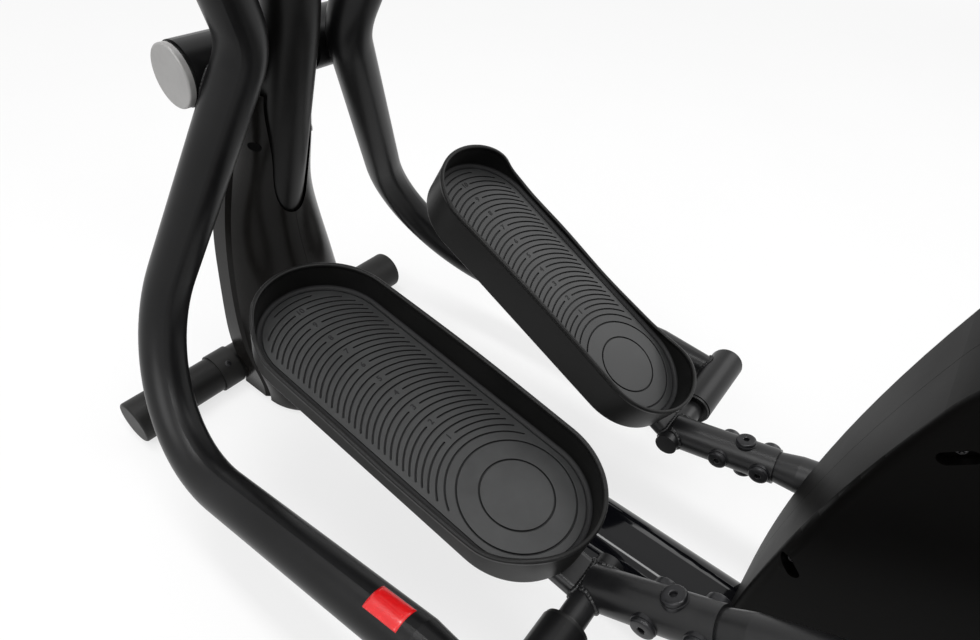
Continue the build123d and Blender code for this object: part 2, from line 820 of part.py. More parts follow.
# Crank axle, its bearings and arms
crank_arm_outer = crank_arm_inner + crank_arm_thickness
shell_left = belt_y - pulley_width / 2 - shell_belt_gap
with BuildPart() as crank_axle:
    rod_y(crank_x, crank_height, -crank_arm_outer, crank_arm_outer, axle_radius)
save(crank_axle.part, "crank_axle")

with BuildPart() as crank_bearings:
    for start, end in ((shell_left, shell_left - bearing_width), (shell_right, shell_right + bearing_width)):
        rod_y(crank_x, crank_height, start, end, bearing_radius - press)
        rod_y(crank_x, crank_height, start, end, axle_radius + running, Mode.SUBTRACT)
save(crank_bearings.part, "crank_bearings")


def crank_arm(side):
    """Tapered bar from the axle boss to the pin eye."""
    reach_x = side * crank_radius * cos(radians(crank_angle))
    reach_z = side * crank_radius * sin(radians(crank_angle))
    with BuildPart() as arm:
        with BuildSketch(Plane.XZ.offset(-side * crank_arm_inner)):
            with Locations((crank_x, crank_height)):
                Circle(crank_boss)
            with Locations((crank_x + reach_x, crank_height + reach_z)):
                Circle(crank_eye)
            make_hull()
        extrude(amount=-side * crank_arm_thickness)
        chamfer(arm.faces().sort_by(Axis.Y)[-1 if side > 0 else 0].edges(), crank_chamfer)
        rod_y(crank_x, crank_height, side * crank_arm_inner, side * crank_arm_outer, axle_radius + press,
              Mode.SUBTRACT)
        rod_y(
            crank_x + reach_x,
            crank_height + reach_z,
            side * crank_arm_inner,
            side * crank_arm_outer,
            crank_pin_radius - crank_chamfer,
            Mode.SUBTRACT,
        )
    return arm.part


for name, side in sides.items():
    save(crank_arm(side), f"crank_arm_{name}")

# Crank pulley: rim, thin web with round windows, hub on the axle
with BuildPart() as crank_pulley:
    low = belt_y - pulley_width / 2
    high = belt_y + pulley_width / 2
    rod_y(crank_x, crank_height, low, high, pulley_radius)
    for side in sides.values():
        face_y = belt_y + side * pulley_width / 2
        web_y = belt_y + side * pulley_web / 2
        rod_y(crank_x, crank_height, face_y, web_y, pulley_radius - pulley_rim, Mode.SUBTRACT)
    rod_y(crank_x, crank_height, low, high, crank_boss)
    with BuildSketch(Plane.XZ.offset(-high)):
        with Locations((crank_x, crank_height)):
            with PolarLocations(window_circle, pulley_windows):
                Circle(window_radius)
    extrude(amount=pulley_width, mode=Mode.SUBTRACT)
    rod_y(crank_x, crank_height, low, high, axle_radius + press, Mode.SUBTRACT)
save(crank_pulley.part, "crank_pulley")

# Drive belt over both pulleys
with BuildPart() as drive_belt:
    for grow, mode in ((belt_thickness + slip, Mode.ADD), (slip, Mode.SUBTRACT)):
        with BuildSketch(Plane.XZ.offset(-belt_y - belt_width / 2)):
            with Locations((crank_x, crank_height)):
                Circle(pulley_radius + grow)
            with Locations((flywheel_x, flywheel_z)):
                Circle(flywheel_pulley_radius + grow)
            make_hull()
        extrude(amount=belt_width, mode=mode)
save(drive_belt.part, "drive_belt")

# Flywheel: heavy rim on a thin web, with the small pulley on its hub
wheel_left = flywheel_y + flywheel_width / 2
wheel_right = flywheel_y - flywheel_width / 2
hub_right = wheel_right - flywheel_hub_step
hub_left = belt_y + pulley_width / 2
wheel_bore = flywheel_axle_radius + running
with BuildPart() as flywheel:
    rod_y(flywheel_x, flywheel_z, wheel_right, wheel_left, flywheel_radius)
    web_half = flywheel_web / 2
    rim_bore = flywheel_radius - flywheel_rim
    rod_y(flywheel_x, flywheel_z, wheel_left, flywheel_y + web_half, rim_bore, Mode.SUBTRACT)
    rod_y(flywheel_x, flywheel_z, wheel_right, flywheel_y - web_half, rim_bore, Mode.SUBTRACT)
    rod_y(flywheel_x, flywheel_z, hub_right, hub_left, flywheel_pulley_radius)
    rod_y(flywheel_x, flywheel_z, hub_right, hub_left, wheel_bore, Mode.SUBTRACT)
save(flywheel.part, "flywheel")

fork_left = hub_left + fork_gap
fork_right = hub_right - fork_gap
spindle_left = fork_left + 2 * fork_plate
spindle_right = fork_right - 2 * fork_plate
with BuildPart() as flywheel_axle:
    rod_y(flywheel_x, flywheel_z, spindle_right, spindle_left, flywheel_axle_radius)
save(flywheel_axle.part, "flywheel_axle")

# Brake shoe: a curved bar over the rim, hinged at its front end, with magnets on its inside
brake_inner = flywheel_radius + brake_gap
brake_outer = brake_inner + brake_thickness
brake_pin_reach = brake_outer + brake_pin_radius
brake_pin_x = flywheel_x + brake_pin_reach * cos(radians(brake_start))
brake_pin_z = flywheel_z + brake_pin_reach * sin(radians(brake_start))
brake_half = flywheel_width / 2 + brake_lip
shoe_left = flywheel_y + brake_half
shoe_right = flywheel_y - brake_half


def ring_sector(inner, outer, start, sweep_angle, half_width, mode=Mode.ADD):
    """Curved bar about the flywheel's axis."""
    middle = start + sweep_angle / 2
    points = []
    for radius, angles in ((outer, (start, middle, start + sweep_angle)),
                           (inner, (start + sweep_angle, middle, start))):
        points.append([
            (flywheel_x + radius * cos(radians(a)), flywheel_z + radius * sin(radians(a))) for a in angles
        ])
    with BuildSketch(Plane.XZ.offset(-flywheel_y - half_width), mode=Mode.PRIVATE) as sector:
        with BuildLine():
            ThreePointArc(*points[0])
            Line(points[0][2], points[1][0])
            ThreePointArc(*points[1])
            Line(points[1][2], points[0][0])
        make_face()
    extrude(sector.sketch, amount=2 * half_width, mode=mode)


with BuildPart() as brake_shoe:
    ring_sector(brake_inner, brake_outer, brake_start, brake_sweep, brake_half)
    rod_y(brake_pin_x, brake_pin_z, shoe_right, shoe_left, brake_eye)
    rod_y(flywheel_x, flywheel_z, shoe_right, shoe_left, brake_inner, Mode.SUBTRACT)
    rod_y(brake_pin_x, brake_pin_z, shoe_right, shoe_left, brake_pin_radius + running, Mode.SUBTRACT)
save(brake_shoe.part, "brake_shoe")

with BuildPart() as brake_magnets:
    for start in magnet_starts:
        ring_sector(
            brake_inner - magnet_thickness,
            brake_inner,
            brake_start + start * brake_sweep,
            magnet_share * brake_sweep,
            flywheel_width / 2,
        )
save(brake_magnets.part, "brake_magnets")

with BuildPart() as brake_pin:
    rod_y(brake_pin_x, brake_pin_z, spindle_right, spindle_left, brake_pin_radius)
save(brake_pin.part, "brake_pin")

# Drive frame: base plate on the rail, upright with the crank shell, two fork plates for the flywheel
with BuildPart() as drive_frame:
    plate_z = rail_top + slip
    frame_rear = crank_x - upright_depth
    frame_front = flywheel_x + upright_depth
    with Locations(((frame_rear + frame_front) / 2, 0, plate_z)):
        Box(
            frame_front - frame_rear,
            2 * (fork_left + fork_plate),
            base_plate,
            align=(Align.CENTER, Align.CENTER, Align.MIN),
        )
    upright_width = shell_left - shell_right - 2 * bearing_width
    upright_y = (shell_left + shell_right) / 2
    with Locations((crank_x, upright_y, plate_z)):
        Box(
            upright_depth,
            upright_width,
            crank_height - plate_z,
            align=(Align.CENTER, Align.CENTER, Align.MIN),
        )
    rod_y(crank_x, crank_height, shell_right, shell_left, bearing_radius + shell_wall)
    for fork_y in (fork_left, fork_right - fork_plate):
        with BuildSketch(Plane.XZ.offset(-fork_y - fork_plate)):
            for spot_x, spot_z, spot_radius in (
                (flywheel_x, flywheel_z, fork_boss * flywheel_axle_radius),
                (brake_pin_x, brake_pin_z, fork_boss * brake_pin_radius),
                (flywheel_x - upright_depth / 2, plate_z + base_plate, base_plate / 2),
                (flywheel_x + upright_depth / 2, plate_z + base_plate, base_plate / 2),
            ):
                with Locations((spot_x, spot_z)):
                    Circle(spot_radius)
            make_hull()
        extrude(amount=fork_plate)
        for hole_x, hole_z, hole_radius in (
            (flywheel_x, flywheel_z, flywheel_axle_radius),
            (brake_pin_x, brake_pin_z, brake_pin_radius),
        ):
            rod_y(hole_x, hole_z, fork_y, fork_y + fork_plate, hole_radius + running, Mode.SUBTRACT)
    rod_y(crank_x, crank_height, shell_right, shell_left, bearing_radius, Mode.SUBTRACT)
save(drive_frame.part, "drive_frame")


def housing_front_x(height):
    """Front of the housing at a height, on a wide arc."""
    rise = height - housing_front_height
    fall = housing_front_radius - sqrt(housing_front_radius**2 - rise**2)
    return crank_x + housing_front - fall


def housing_half_shell(side):
    """One half of the drive housing: rounded outline, soft outer edge, open seam and underside."""
    rear = crank_x - housing_rear
    middle_z = (housing_underside + housing_top) / 2
    low = (housing_front_x(housing_underside), housing_underside)
    high = (housing_front_x(housing_top), housing_top)
    with BuildPart() as shell:
        with BuildSketch(Plane.XZ.offset(-side * housing_seam / 2)):
            with BuildLine():
                ThreePointArc(low, (housing_front_x(housing_front_height), housing_front_height), high)
                ThreePointArc(high, ((high[0] + rear) / 2, housing_top + housing_crown), (rear, housing_top))
                ThreePointArc(
                    (rear, housing_top), (rear - housing_bulge, middle_z), (rear, housing_underside)
                )
                Line((rear, housing_underside), low)
            make_face()
            fillet(vertices().group_by(Axis.Y)[-1], housing_corner)
            fillet(vertices().group_by(Axis.Y)[0], housing_foot_corner)
        extrude(amount=-side * (housing_half - housing_seam / 2))
        outer_face = shell.faces().sort_by(Axis.Y)[-1 if side > 0 else 0]
        fillet(outer_face.edges(), housing_edge)
        outer_form = shell.part
        seam_face = shell.faces().sort_by(Axis.Y)[0 if side > 0 else -1]
        offset(amount=-housing_wall, openings=seam_face)
        boss_length = recess_length + 2 * housing_wall
        boss_width = recess_width + 2 * housing_wall
        recess_rise = housing_top - 0.8 * housing_corner
        recesses = (
            (housing_front_x(recess_height) - recess_inset, recess_height, 45),
            (housing_front_x(recess_rise) - 2 * recess_inset, recess_rise, 135),
            (rear + 0.5 * recess_inset, recess_height, 135),
            (rear + recess_inset, recess_rise, 45),
        )
        for recess_x, recess_z, turn in recesses:
            with BuildSketch(Plane.XZ.offset(-side * housing_half), mode=Mode.PRIVATE) as boss:
                with Locations((recess_x, recess_z)):
                    SlotOverall(boss_length, boss_width, rotation=turn)
            depth = side * (recess_depth + housing_wall)
            add(extrude(boss.sketch, amount=depth, mode=Mode.PRIVATE) & outer_form)
            with BuildSketch(Plane.XZ.offset(-side * housing_half)):
                with Locations((recess_x, recess_z)):
                    SlotOverall(recess_length, recess_width, rotation=turn)
            extrude(amount=side * recess_depth, mode=Mode.SUBTRACT)
        rod_y(crank_x, crank_height, 0, side * 2 * housing_half, axle_window, Mode.SUBTRACT)
        with BuildSketch(Plane.YZ.offset(rear_x)):
            with Locations((0, rail_mid)):
                RectangleRounded(rail_width + 2 * slip, rail_height + 2 * slip, rail_corner + slip)
        extrude(amount=wheelbase, mode=Mode.SUBTRACT)
    return shell.part


for name, side in sides.items():
    save(housing_half_shell(side), f"housing_{name}")

# Fixed handlebar behind the mast, its clamp and its two pulse grips
bar_z = bar_height
bar_x = mast_x(bar_height) - mast_radius / cos(radians(mast_upper_lean)) - clamp_block / 2
bar_points = [
    (bar_x - bar_reach, bar_width / 2, bar_z + bar_rise),
    (bar_x, bar_width / 2, bar_z),
    (bar_x, -bar_width / 2, bar_z),
    (bar_x - bar_reach, -bar_width / 2, bar_z + bar_rise),
]
with BuildPart() as fixed_handlebar:
    with BuildLine() as bar_route:
        FilletPolyline(*bar_points, radius=bar_bend)
    with BuildSketch(Plane(origin=bar_route.line @ 0, z_dir=bar_route.line % 0)):
        Circle(bar_radius)
        Circle(bar_radius - bar_wall, mode=Mode.SUBTRACT)
    sweep()
save(fixed_handlebar.part, "fixed_handlebar")

from_rear = (Align.MIN, Align.CENTER, Align.CENTER)
with BuildPart() as handlebar_clamp:
    with Locations((bar_x, 0, bar_z)):
        Box(clamp_block, clamp_block, clamp_block)
    fillet(handlebar_clamp.edges().filter_by(Axis.Y), 0.2 * clamp_block)
    with Locations((bar_x, 0, bar_z)):
        Box(clamp_block + mast_radius, clamp_block, 0.6 * clamp_block, align=from_rear)
    rod(mast_bend, mast_head, mast_radius + slip, Mode.SUBTRACT)
    with Locations((mast_x(bar_z), 0, bar_z)):
        Box(4 * mast_radius, 2 * clamp_block, 2 * clamp_block, align=from_rear, mode=Mode.SUBTRACT)
    rod_y(bar_x, bar_z, -clamp_block, clamp_block, bar_radius + slip, Mode.SUBTRACT)
save(handlebar_clamp.part, "handlebar_clamp")

with BuildPart() as pulse_grips:
    for side in sides.values():
        tip = Vector(bar_x - bar_reach, side * bar_width / 2, bar_z + bar_rise)
        along = (tip - Vector(bar_x, side * bar_width / 2, bar_z)).normalized()
        grip_end = tip + along * pulse_thickness
        rod(tip - along * pulse_length, grip_end, bar_radius + pulse_thickness)
        rod(tip - along * pulse_length, tip + along * slip, bar_radius + slip, Mode.SUBTRACT)
save(pulse_grips.part, "pulse_grips")

# Tension knob on the mast
knob_seat = Vector(mast_x(knob_height), 0, knob_height)
knob_face = knob_seat + mast_rear * (mast_radius + knob_base)
with BuildPart() as knob_plate:
    rod(knob_seat, knob_face, knob_radius)
    rod(mast_bend, mast_head, mast_radius + slip, Mode.SUBTRACT)
save(knob_plate.part, "knob_plate")

with BuildPart() as tension_knob:
    start = knob_face + mast_rear * side_gap
    rod(start, start + mast_rear * knob_length, knob_radius)
    fillet(tension_knob.edges().filter_by(GeomType.CIRCLE), 0.1 * knob_length)
    grip_plane = Plane(origin=start + mast_rear * (knob_length * 0.35), x_dir=(0, 1, 0), z_dir=mast_rear)
    with BuildSketch(grip_plane):
        with PolarLocations(1.12 * knob_radius, knob_flutes):
            Circle(0.2 * knob_radius)
    extrude(amount=knob_length, mode=Mode.SUBTRACT)
save(tension_knob.part, "tension_knob")

# Console on a bracket plugged into the mast
tilt = radians(console_tilt)
console_up = Vector(-sin(tilt), 0, cos(tilt))
console_origin = Vector(mast_x(mast_top + bracket_rise), 0, mast_top + bracket_rise)
console_back = Plane(origin=console_origin, x_dir=(0, -1, 0), z_dir=console_up)
with BuildPart() as console_bracket:
    stem_top = console_origin + mast_up * mast_radius
    rod(mast_head - mast_up * socket_depth, stem_top, mast_radius - mast_wall - slip)
    rod(mast_head + mast_up * slip, stem_top, mast_radius)
    with BuildSketch(console_back.offset(-bracket_plate)):
        Rectangle(2 * console_width, 2 * console_width)
    extrude(amount=console_width, mode=Mode.SUBTRACT)
    with BuildSketch(console_back.offset(-bracket_plate)):
        RectangleRounded(console_width / 2.5, console_depth / 2, bracket_corner)
    extrude(amount=bracket_plate - slip)
save(console_bracket.part, "console_bracket")

with BuildPart() as console_housing:
    with BuildSketch(console_back):
        RectangleRounded(console_width, console_depth, console_corner)
    extrude(amount=console_thickness, taper=console_draft)
    fillet(console_housing.faces().sort_by(Axis(console_origin, console_up))[-1].edges(), console_edge)
    with BuildSketch(console_back.offset(console_thickness)):
        with Locations((0, screen_shift)):
            Rectangle(screen_width, screen_depth)
    extrude(amount=-screen_recess, mode=Mode.SUBTRACT)
    with BuildSketch(console_back.offset(console_thickness)):
        with Locations((0, button_row)):
            with GridLocations(button_pitch, 0, 3, 1):
                Circle(button_radius + side_gap)
    extrude(amount=-button_height, mode=Mode.SUBTRACT)
save(console_housing.part, "console_housing")

with BuildPart() as console_screen:
    with BuildSketch(console_back.offset(console_thickness - screen_recess)):
        with Locations((0, screen_shift)):
            Rectangle(screen_width - 2 * slip, screen_depth - 2 * slip)
    extrude(amount=0.8 * screen_recess)
save(console_screen.part, "console_screen")

button_plane = console_back.offset(console_thickness - button_height + button_travel + side_gap)
for index in range(3):
    with BuildPart() as console_button:
        with BuildSketch(button_plane):
            with Locations(((index - 1) * button_pitch, button_row)):
                Circle(button_radius)
        extrude(amount=button_height)
        fillet(console_button.faces().sort_by(Axis(console_origin, console_up))[-1].edges(), button_edge)
    save(console_button.part, f"console_button_{index + 1}")
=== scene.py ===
"""Looks of an elliptical trainer: finishes, treads, welds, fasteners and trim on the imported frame."""
import json
import math

import bmesh
import bpy
from mathutils import Matrix, Vector
from mathutils.bvhtree import BVHTree
from mathutils.geometry import delaunay_2d_cdt


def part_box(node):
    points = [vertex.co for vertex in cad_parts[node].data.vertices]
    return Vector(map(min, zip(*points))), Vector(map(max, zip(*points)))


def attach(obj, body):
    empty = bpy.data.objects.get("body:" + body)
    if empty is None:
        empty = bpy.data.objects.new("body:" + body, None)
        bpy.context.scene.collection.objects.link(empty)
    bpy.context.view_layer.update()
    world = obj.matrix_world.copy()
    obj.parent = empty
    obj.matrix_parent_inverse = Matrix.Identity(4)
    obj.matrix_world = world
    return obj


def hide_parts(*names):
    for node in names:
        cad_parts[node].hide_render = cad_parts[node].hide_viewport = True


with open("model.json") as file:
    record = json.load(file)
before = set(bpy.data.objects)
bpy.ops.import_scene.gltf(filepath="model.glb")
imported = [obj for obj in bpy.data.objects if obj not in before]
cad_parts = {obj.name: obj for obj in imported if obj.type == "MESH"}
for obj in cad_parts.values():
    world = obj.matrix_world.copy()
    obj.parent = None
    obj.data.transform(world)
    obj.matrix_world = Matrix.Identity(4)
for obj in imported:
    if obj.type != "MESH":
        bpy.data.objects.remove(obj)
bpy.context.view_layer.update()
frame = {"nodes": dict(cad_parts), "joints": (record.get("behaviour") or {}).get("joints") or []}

# Studio floor: a pale matt card laid flat under the machine, with a faint cloudiness.
# It takes the soft shadow of the frame, shows in the gloss rail and fades to white far away.
scene = bpy.context.scene


def remap(tree, source, low, high, start=0.0, end=1.0):
    """Carry a shader value from one span to another."""
    node = tree.nodes.new("ShaderNodeMapRange")
    for socket, value in (("From Min", low), ("From Max", high), ("To Min", start), ("To Max", end)):
        node.inputs[socket].default_value = value
    tree.links.new(source, node.inputs["Value"])
    return node.outputs["Result"]


def finish(name, dark, light, rough, cloud=20.0, grain=900.0, bump=0.05, depth=0.0002, **sockets):
    """A finish with cloudy colour, uneven gloss and a fine grain; other shader sockets are set by name."""
    material = bpy.data.materials.new(name)
    material.use_nodes = True
    tree = material.node_tree
    shader = tree.nodes["Principled BSDF"]
    place = tree.nodes.new("ShaderNodeTexCoord").outputs["Object"]
    clouds = tree.nodes.new("ShaderNodeTexNoise")
    clouds.inputs["Scale"].default_value = cloud
    clouds.inputs["Detail"].default_value = 6.0
    clouds.inputs["Roughness"].default_value = 0.62
    tree.links.new(place, clouds.inputs["Vector"])
    tint = tree.nodes.new("ShaderNodeMix")
    tint.data_type = "RGBA"
    tint.inputs[6].default_value = (*dark, 1.0)
    tint.inputs[7].default_value = (*light, 1.0)
    tree.links.new(remap(tree, clouds.outputs[0], 0.3, 0.7), tint.inputs[0])
    tree.links.new(tint.outputs[2], shader.inputs["Base Color"])
    tree.links.new(remap(tree, clouds.outputs[0], 0.25, 0.75, *rough), shader.inputs["Roughness"])
    fine = tree.nodes.new("ShaderNodeTexNoise")
    fine.inputs["Scale"].default_value = grain
    fine.inputs["Detail"].default_value = 3.0
    tree.links.new(place, fine.inputs["Vector"])
    relief = tree.nodes.new("ShaderNodeBump")
    relief.inputs["Strength"].default_value = bump
    relief.inputs["Distance"].default_value = depth
    tree.links.new(fine.outputs[0], relief.inputs["Height"])
    tree.links.new(relief.outputs["Normal"], shader.inputs["Normal"])
    for socket, value in sockets.items():
        shader.inputs[socket.replace("_", " ")].default_value = value
    return material


def piece(name, mesh, *materials):
    """A finished mesh in the scene, at the origin, in its finishes."""
    for material in materials:
        mesh.materials.append(material)
    made = bpy.data.objects.new(name, mesh)
    scene.collection.objects.link(made)
    return made


def seen_rays(tree):
    """1 for rays that see a surface, mirror it or pass through glass to it, 0 for rays that only light."""
    path = tree.nodes.new("ShaderNodeLightPath")
    found = path.outputs["Is Camera Ray"]
    for kind in ("Is Glossy Ray", "Is Transmission Ray"):
        either = tree.nodes.new("ShaderNodeMath")
        either.operation = "MAXIMUM"
        tree.links.new(found, either.inputs[0])
        tree.links.new(path.outputs[kind], either.inputs[1])
        found = either.outputs[0]
    return found


floor_half = 40.0
near_white = 0.72
fade_from, fade_to = 1.6, 5.0
floor_mesh = bpy.data.meshes.new("studio_floor")
floor_corners = [(x * floor_half, y * floor_half, 0) for x, y in ((-1, -1), (1, -1), (1, 1), (-1, 1))]
floor_mesh.from_pydata(floor_corners, [], [(0, 1, 2, 3)])
floor_card = finish("floor_card", (0.90, 0.90, 0.90), (0.93, 0.93, 0.93), (0.8, 0.9), cloud=2.0, bump=0.02,
                    Specular_IOR_Level=0.1)
card = floor_card.node_tree
glow = card.nodes.new("ShaderNodeEmission")
glow.inputs["Color"].default_value = (1.0, 1.0, 1.0, 1.0)
glow.inputs["Strength"].default_value = 1.0
away = card.nodes.new("ShaderNodeVectorMath")
away.operation = "LENGTH"
card.links.new(card.nodes.new("ShaderNodeTexCoord").outputs["Object"], away.inputs[0])
share = card.nodes.new("ShaderNodeMath")
share.operation = "MULTIPLY"
card.links.new(seen_rays(card), share.inputs[0])
card.links.new(remap(card, away.outputs["Value"], fade_from, fade_to, near_white, 1.0), share.inputs[1])
blend = card.nodes.new("ShaderNodeMixShader")
card.links.new(share.outputs[0], blend.inputs[0])
card.links.new(card.nodes["Principled BSDF"].outputs[0], blend.inputs[1])
card.links.new(glow.outputs[0], blend.inputs[2])
card.links.new(blend.outputs[0], card.nodes["Material Output"].inputs["Surface"])
piece("studio_floor", floor_mesh, floor_card)

# Studio sky: an even white surround, as bright as white paper where it is seen, mirrored or looked through.
# As a light it has a little under half that strength, so the blacks keep their depth.
sky_light = 0.46
scene.world = bpy.data.worlds.new("studio_sky")
scene.world.use_nodes = True
sky = scene.world.node_tree
backdrop = sky.nodes["Background"]
backdrop.inputs["Color"].default_value = (1.0, 1.0, 1.0, 1.0)
sky.links.new(remap(sky, seen_rays(sky), 0.0, 1.0, sky_light, 1.0), backdrop.inputs["Strength"])

# Lamps: a long narrow strip overhead that draws the streak on the gloss rail, and two wide soft boxes,
# one above at the left and one at the right, that put a sheen on the tubes and the rubber mats.
for lamp_name, watts, spot, aim, size in (
    ("strip_above", 42.0, (0.3, 0.1, 2.7), (0.3, 0.095, 0.0), (3.0, 0.36)),
    ("box_left", 24.0, (0.5, 1.9, 2.1), (0.2, 0.0, 0.2), (1.8, 1.2)),
    ("box_right", 15.0, (-0.5, -2.2, 1.9), (0.2, -0.1, 0.3), (1.6, 1.2)),
):
    lamp = bpy.data.lights.new(lamp_name, "AREA")
    lamp.shape = "RECTANGLE"
    lamp.size, lamp.size_y = size
    lamp.energy = watts
    lit = bpy.data.objects.new(lamp_name, lamp)
    lit.location = spot
    lit.rotation_euler = (Vector(aim) - Vector(spot)).to_track_quat("-Z", "Y").to_euler()
    scene.collection.objects.link(lit)

# Camera: close above the left rear of the machine, looking down and forward across both pedals.
# It is rolled by a few degrees, and its wide lens is shifted a little upwards.
camera_at = Vector((-0.0441, 0.4047, 0.7138))
yaw, pitch, roll = math.radians(-56.12), math.radians(43.13), math.radians(-5.95)
ahead = Vector((math.cos(pitch) * math.cos(yaw), math.cos(pitch) * math.sin(yaw), -math.sin(pitch)))
level = ahead.cross(Vector((0, 0, 1))).normalized()
below = ahead.cross(level)
across = level * math.cos(roll) + below * math.sin(roll)
upward = level * math.sin(roll) - below * math.cos(roll)
lens = bpy.data.cameras.new("photo_camera")
lens.sensor_width = 36.0
lens.lens = 23.45
lens.shift_y = 0.0265
lens.clip_start = 0.01
camera = bpy.data.objects.new("photo_camera", lens)
camera_turn = Matrix((across, upward, -ahead)).transposed().to_4x4()
camera.matrix_world = Matrix.Translation(camera_at) @ camera_turn
scene.collection.objects.link(camera)
scene.camera = camera
scene.view_settings.view_transform = "Standard"

# Main rail: one flat oval steel tube, sprayed gloss black and stoved, so it mirrors what is round it.
# It is welded to the stabilizers at both ends.
nodes = frame["nodes"]


def dress(material, *names):
    """Give CAD nodes their finish."""
    for name in names:
        nodes[name].data.materials.clear()
        nodes[name].data.materials.append(material)


gloss_paint = finish("gloss_black_paint", (0.002, 0.002, 0.003), (0.004, 0.0042, 0.0055), (0.05, 0.09),
                     cloud=9.0, grain=260.0, bump=0.02, Specular_IOR_Level=0.3)
dress(gloss_paint, "main_rail")

# Stabilizers and mast: round steel tubes in satin black powder coat, with a fine orange-peel skin.
# The mast is coped over the rail and welded to it.
powder_coat = finish("satin_powder_coat", (0.004, 0.004, 0.004), (0.008, 0.0078, 0.0076), (0.32, 0.44),
                     cloud=14.0, grain=1500.0, bump=0.16, depth=0.0001, Specular_IOR_Level=0.18)
dress(powder_coat, "front_stabilizer", "rear_stabilizer", "mast")

# End caps and collars: injection-moulded black plastic pushed over the tubes.
# A small cross-head screw locks each collar.
mm = 0.001
cap_plastic = finish("cap_plastic", (0.008, 0.0078, 0.0076), (0.015, 0.0147, 0.0143), (0.42, 0.55),
                     cloud=25.0, grain=2200.0, bump=0.25, depth=0.0001, Specular_IOR_Level=0.2)
dress(cap_plastic, "front_end_caps", "rear_end_caps", "stabilizer_collars")


def join_rows(shape, rows):
    """Faces between neighbouring closed rows of points."""
    faces = []
    for one, other in zip(rows, rows[1:]):
        for step in range(len(one)):
            after = (step + 1) % len(one)
            faces.append(shape.faces.new((one[step], one[after], other[after], other[step])))
    return faces


def settle(shape, name, merge=0.0, smooth=False, sharp=0):
    """Turn a shape into a mesh that faces outwards; edges past the sharp angle, in degrees, stay crisp."""
    if merge:
        bmesh.ops.remove_doubles(shape, verts=shape.verts, dist=merge)
    bmesh.ops.recalc_face_normals(shape, faces=shape.faces)
    mesh = bpy.data.meshes.new(name)
    shape.to_mesh(mesh)
    shape.free()
    if smooth:
        mesh.shade_smooth()
    if sharp:
        mesh.set_sharp_from_angle(angle=math.radians(sharp))
    return mesh


def lathe(name, profile, segments=32):
    """A turned mesh about Z from (radius, height) points, closed where the radius is zero."""
    shape = bmesh.new()
    rings = []
    for radius, height in profile:
        if radius == 0:
            rings.append([shape.verts.new((0, 0, height))])
            continue
        ring = []
        for step in range(segments):
            angle = 2 * math.pi * step / segments
            ring.append(shape.verts.new((radius * math.cos(angle), radius * math.sin(angle), height)))
        rings.append(ring)
    for low, high in zip(rings, rings[1:]):
        for step in range(segments):
            after = (step + 1) % segments
            if len(low) == 1:
                shape.faces.new((low[0], high[after], high[step]))
            elif len(high) == 1:
                shape.faces.new((low[step], low[after], high[0]))
            else:
                shape.faces.new((low[step], low[after], high[after], high[step]))
    return settle(shape, name, merge=0.001 * mm, smooth=True, sharp=35)


def cross_head(radius, height):
    """A pan-head screw seated on z = 0, its cross recess drawn as a cross block in the second finish, which
    paints the recess's shade.
    """
    mesh = lathe("cross_head", [
        (0, -height), (radius, -height), (radius, 0.35 * height), (0.86 * radius, 0.75 * height),
        (0.55 * radius, 0.95 * height), (0, height),
    ], 24)
    shape = bmesh.new()
    shape.from_mesh(mesh)
    arm, half = 0.58 * radius, 0.12 * radius
    corners = [(-arm, -half), (-half, -half), (-half, -arm), (half, -arm), (half, -half), (arm, -half),
               (arm, half), (half, half), (half, arm), (-half, arm), (-half, half), (-arm, half)]
    rows = []
    for level in (0.5 * height, 1.02 * height):
        rows.append([shape.verts.new((x, y, level)) for x, y in corners])
    # The cross block takes the second finish: painted shade of the recess.
    for face in join_rows(shape, rows) + [shape.faces.new(rows[0][::-1]), shape.faces.new(rows[1])]:
        face.material_index = 1
    shape.to_mesh(mesh)
    shape.free()
    return mesh


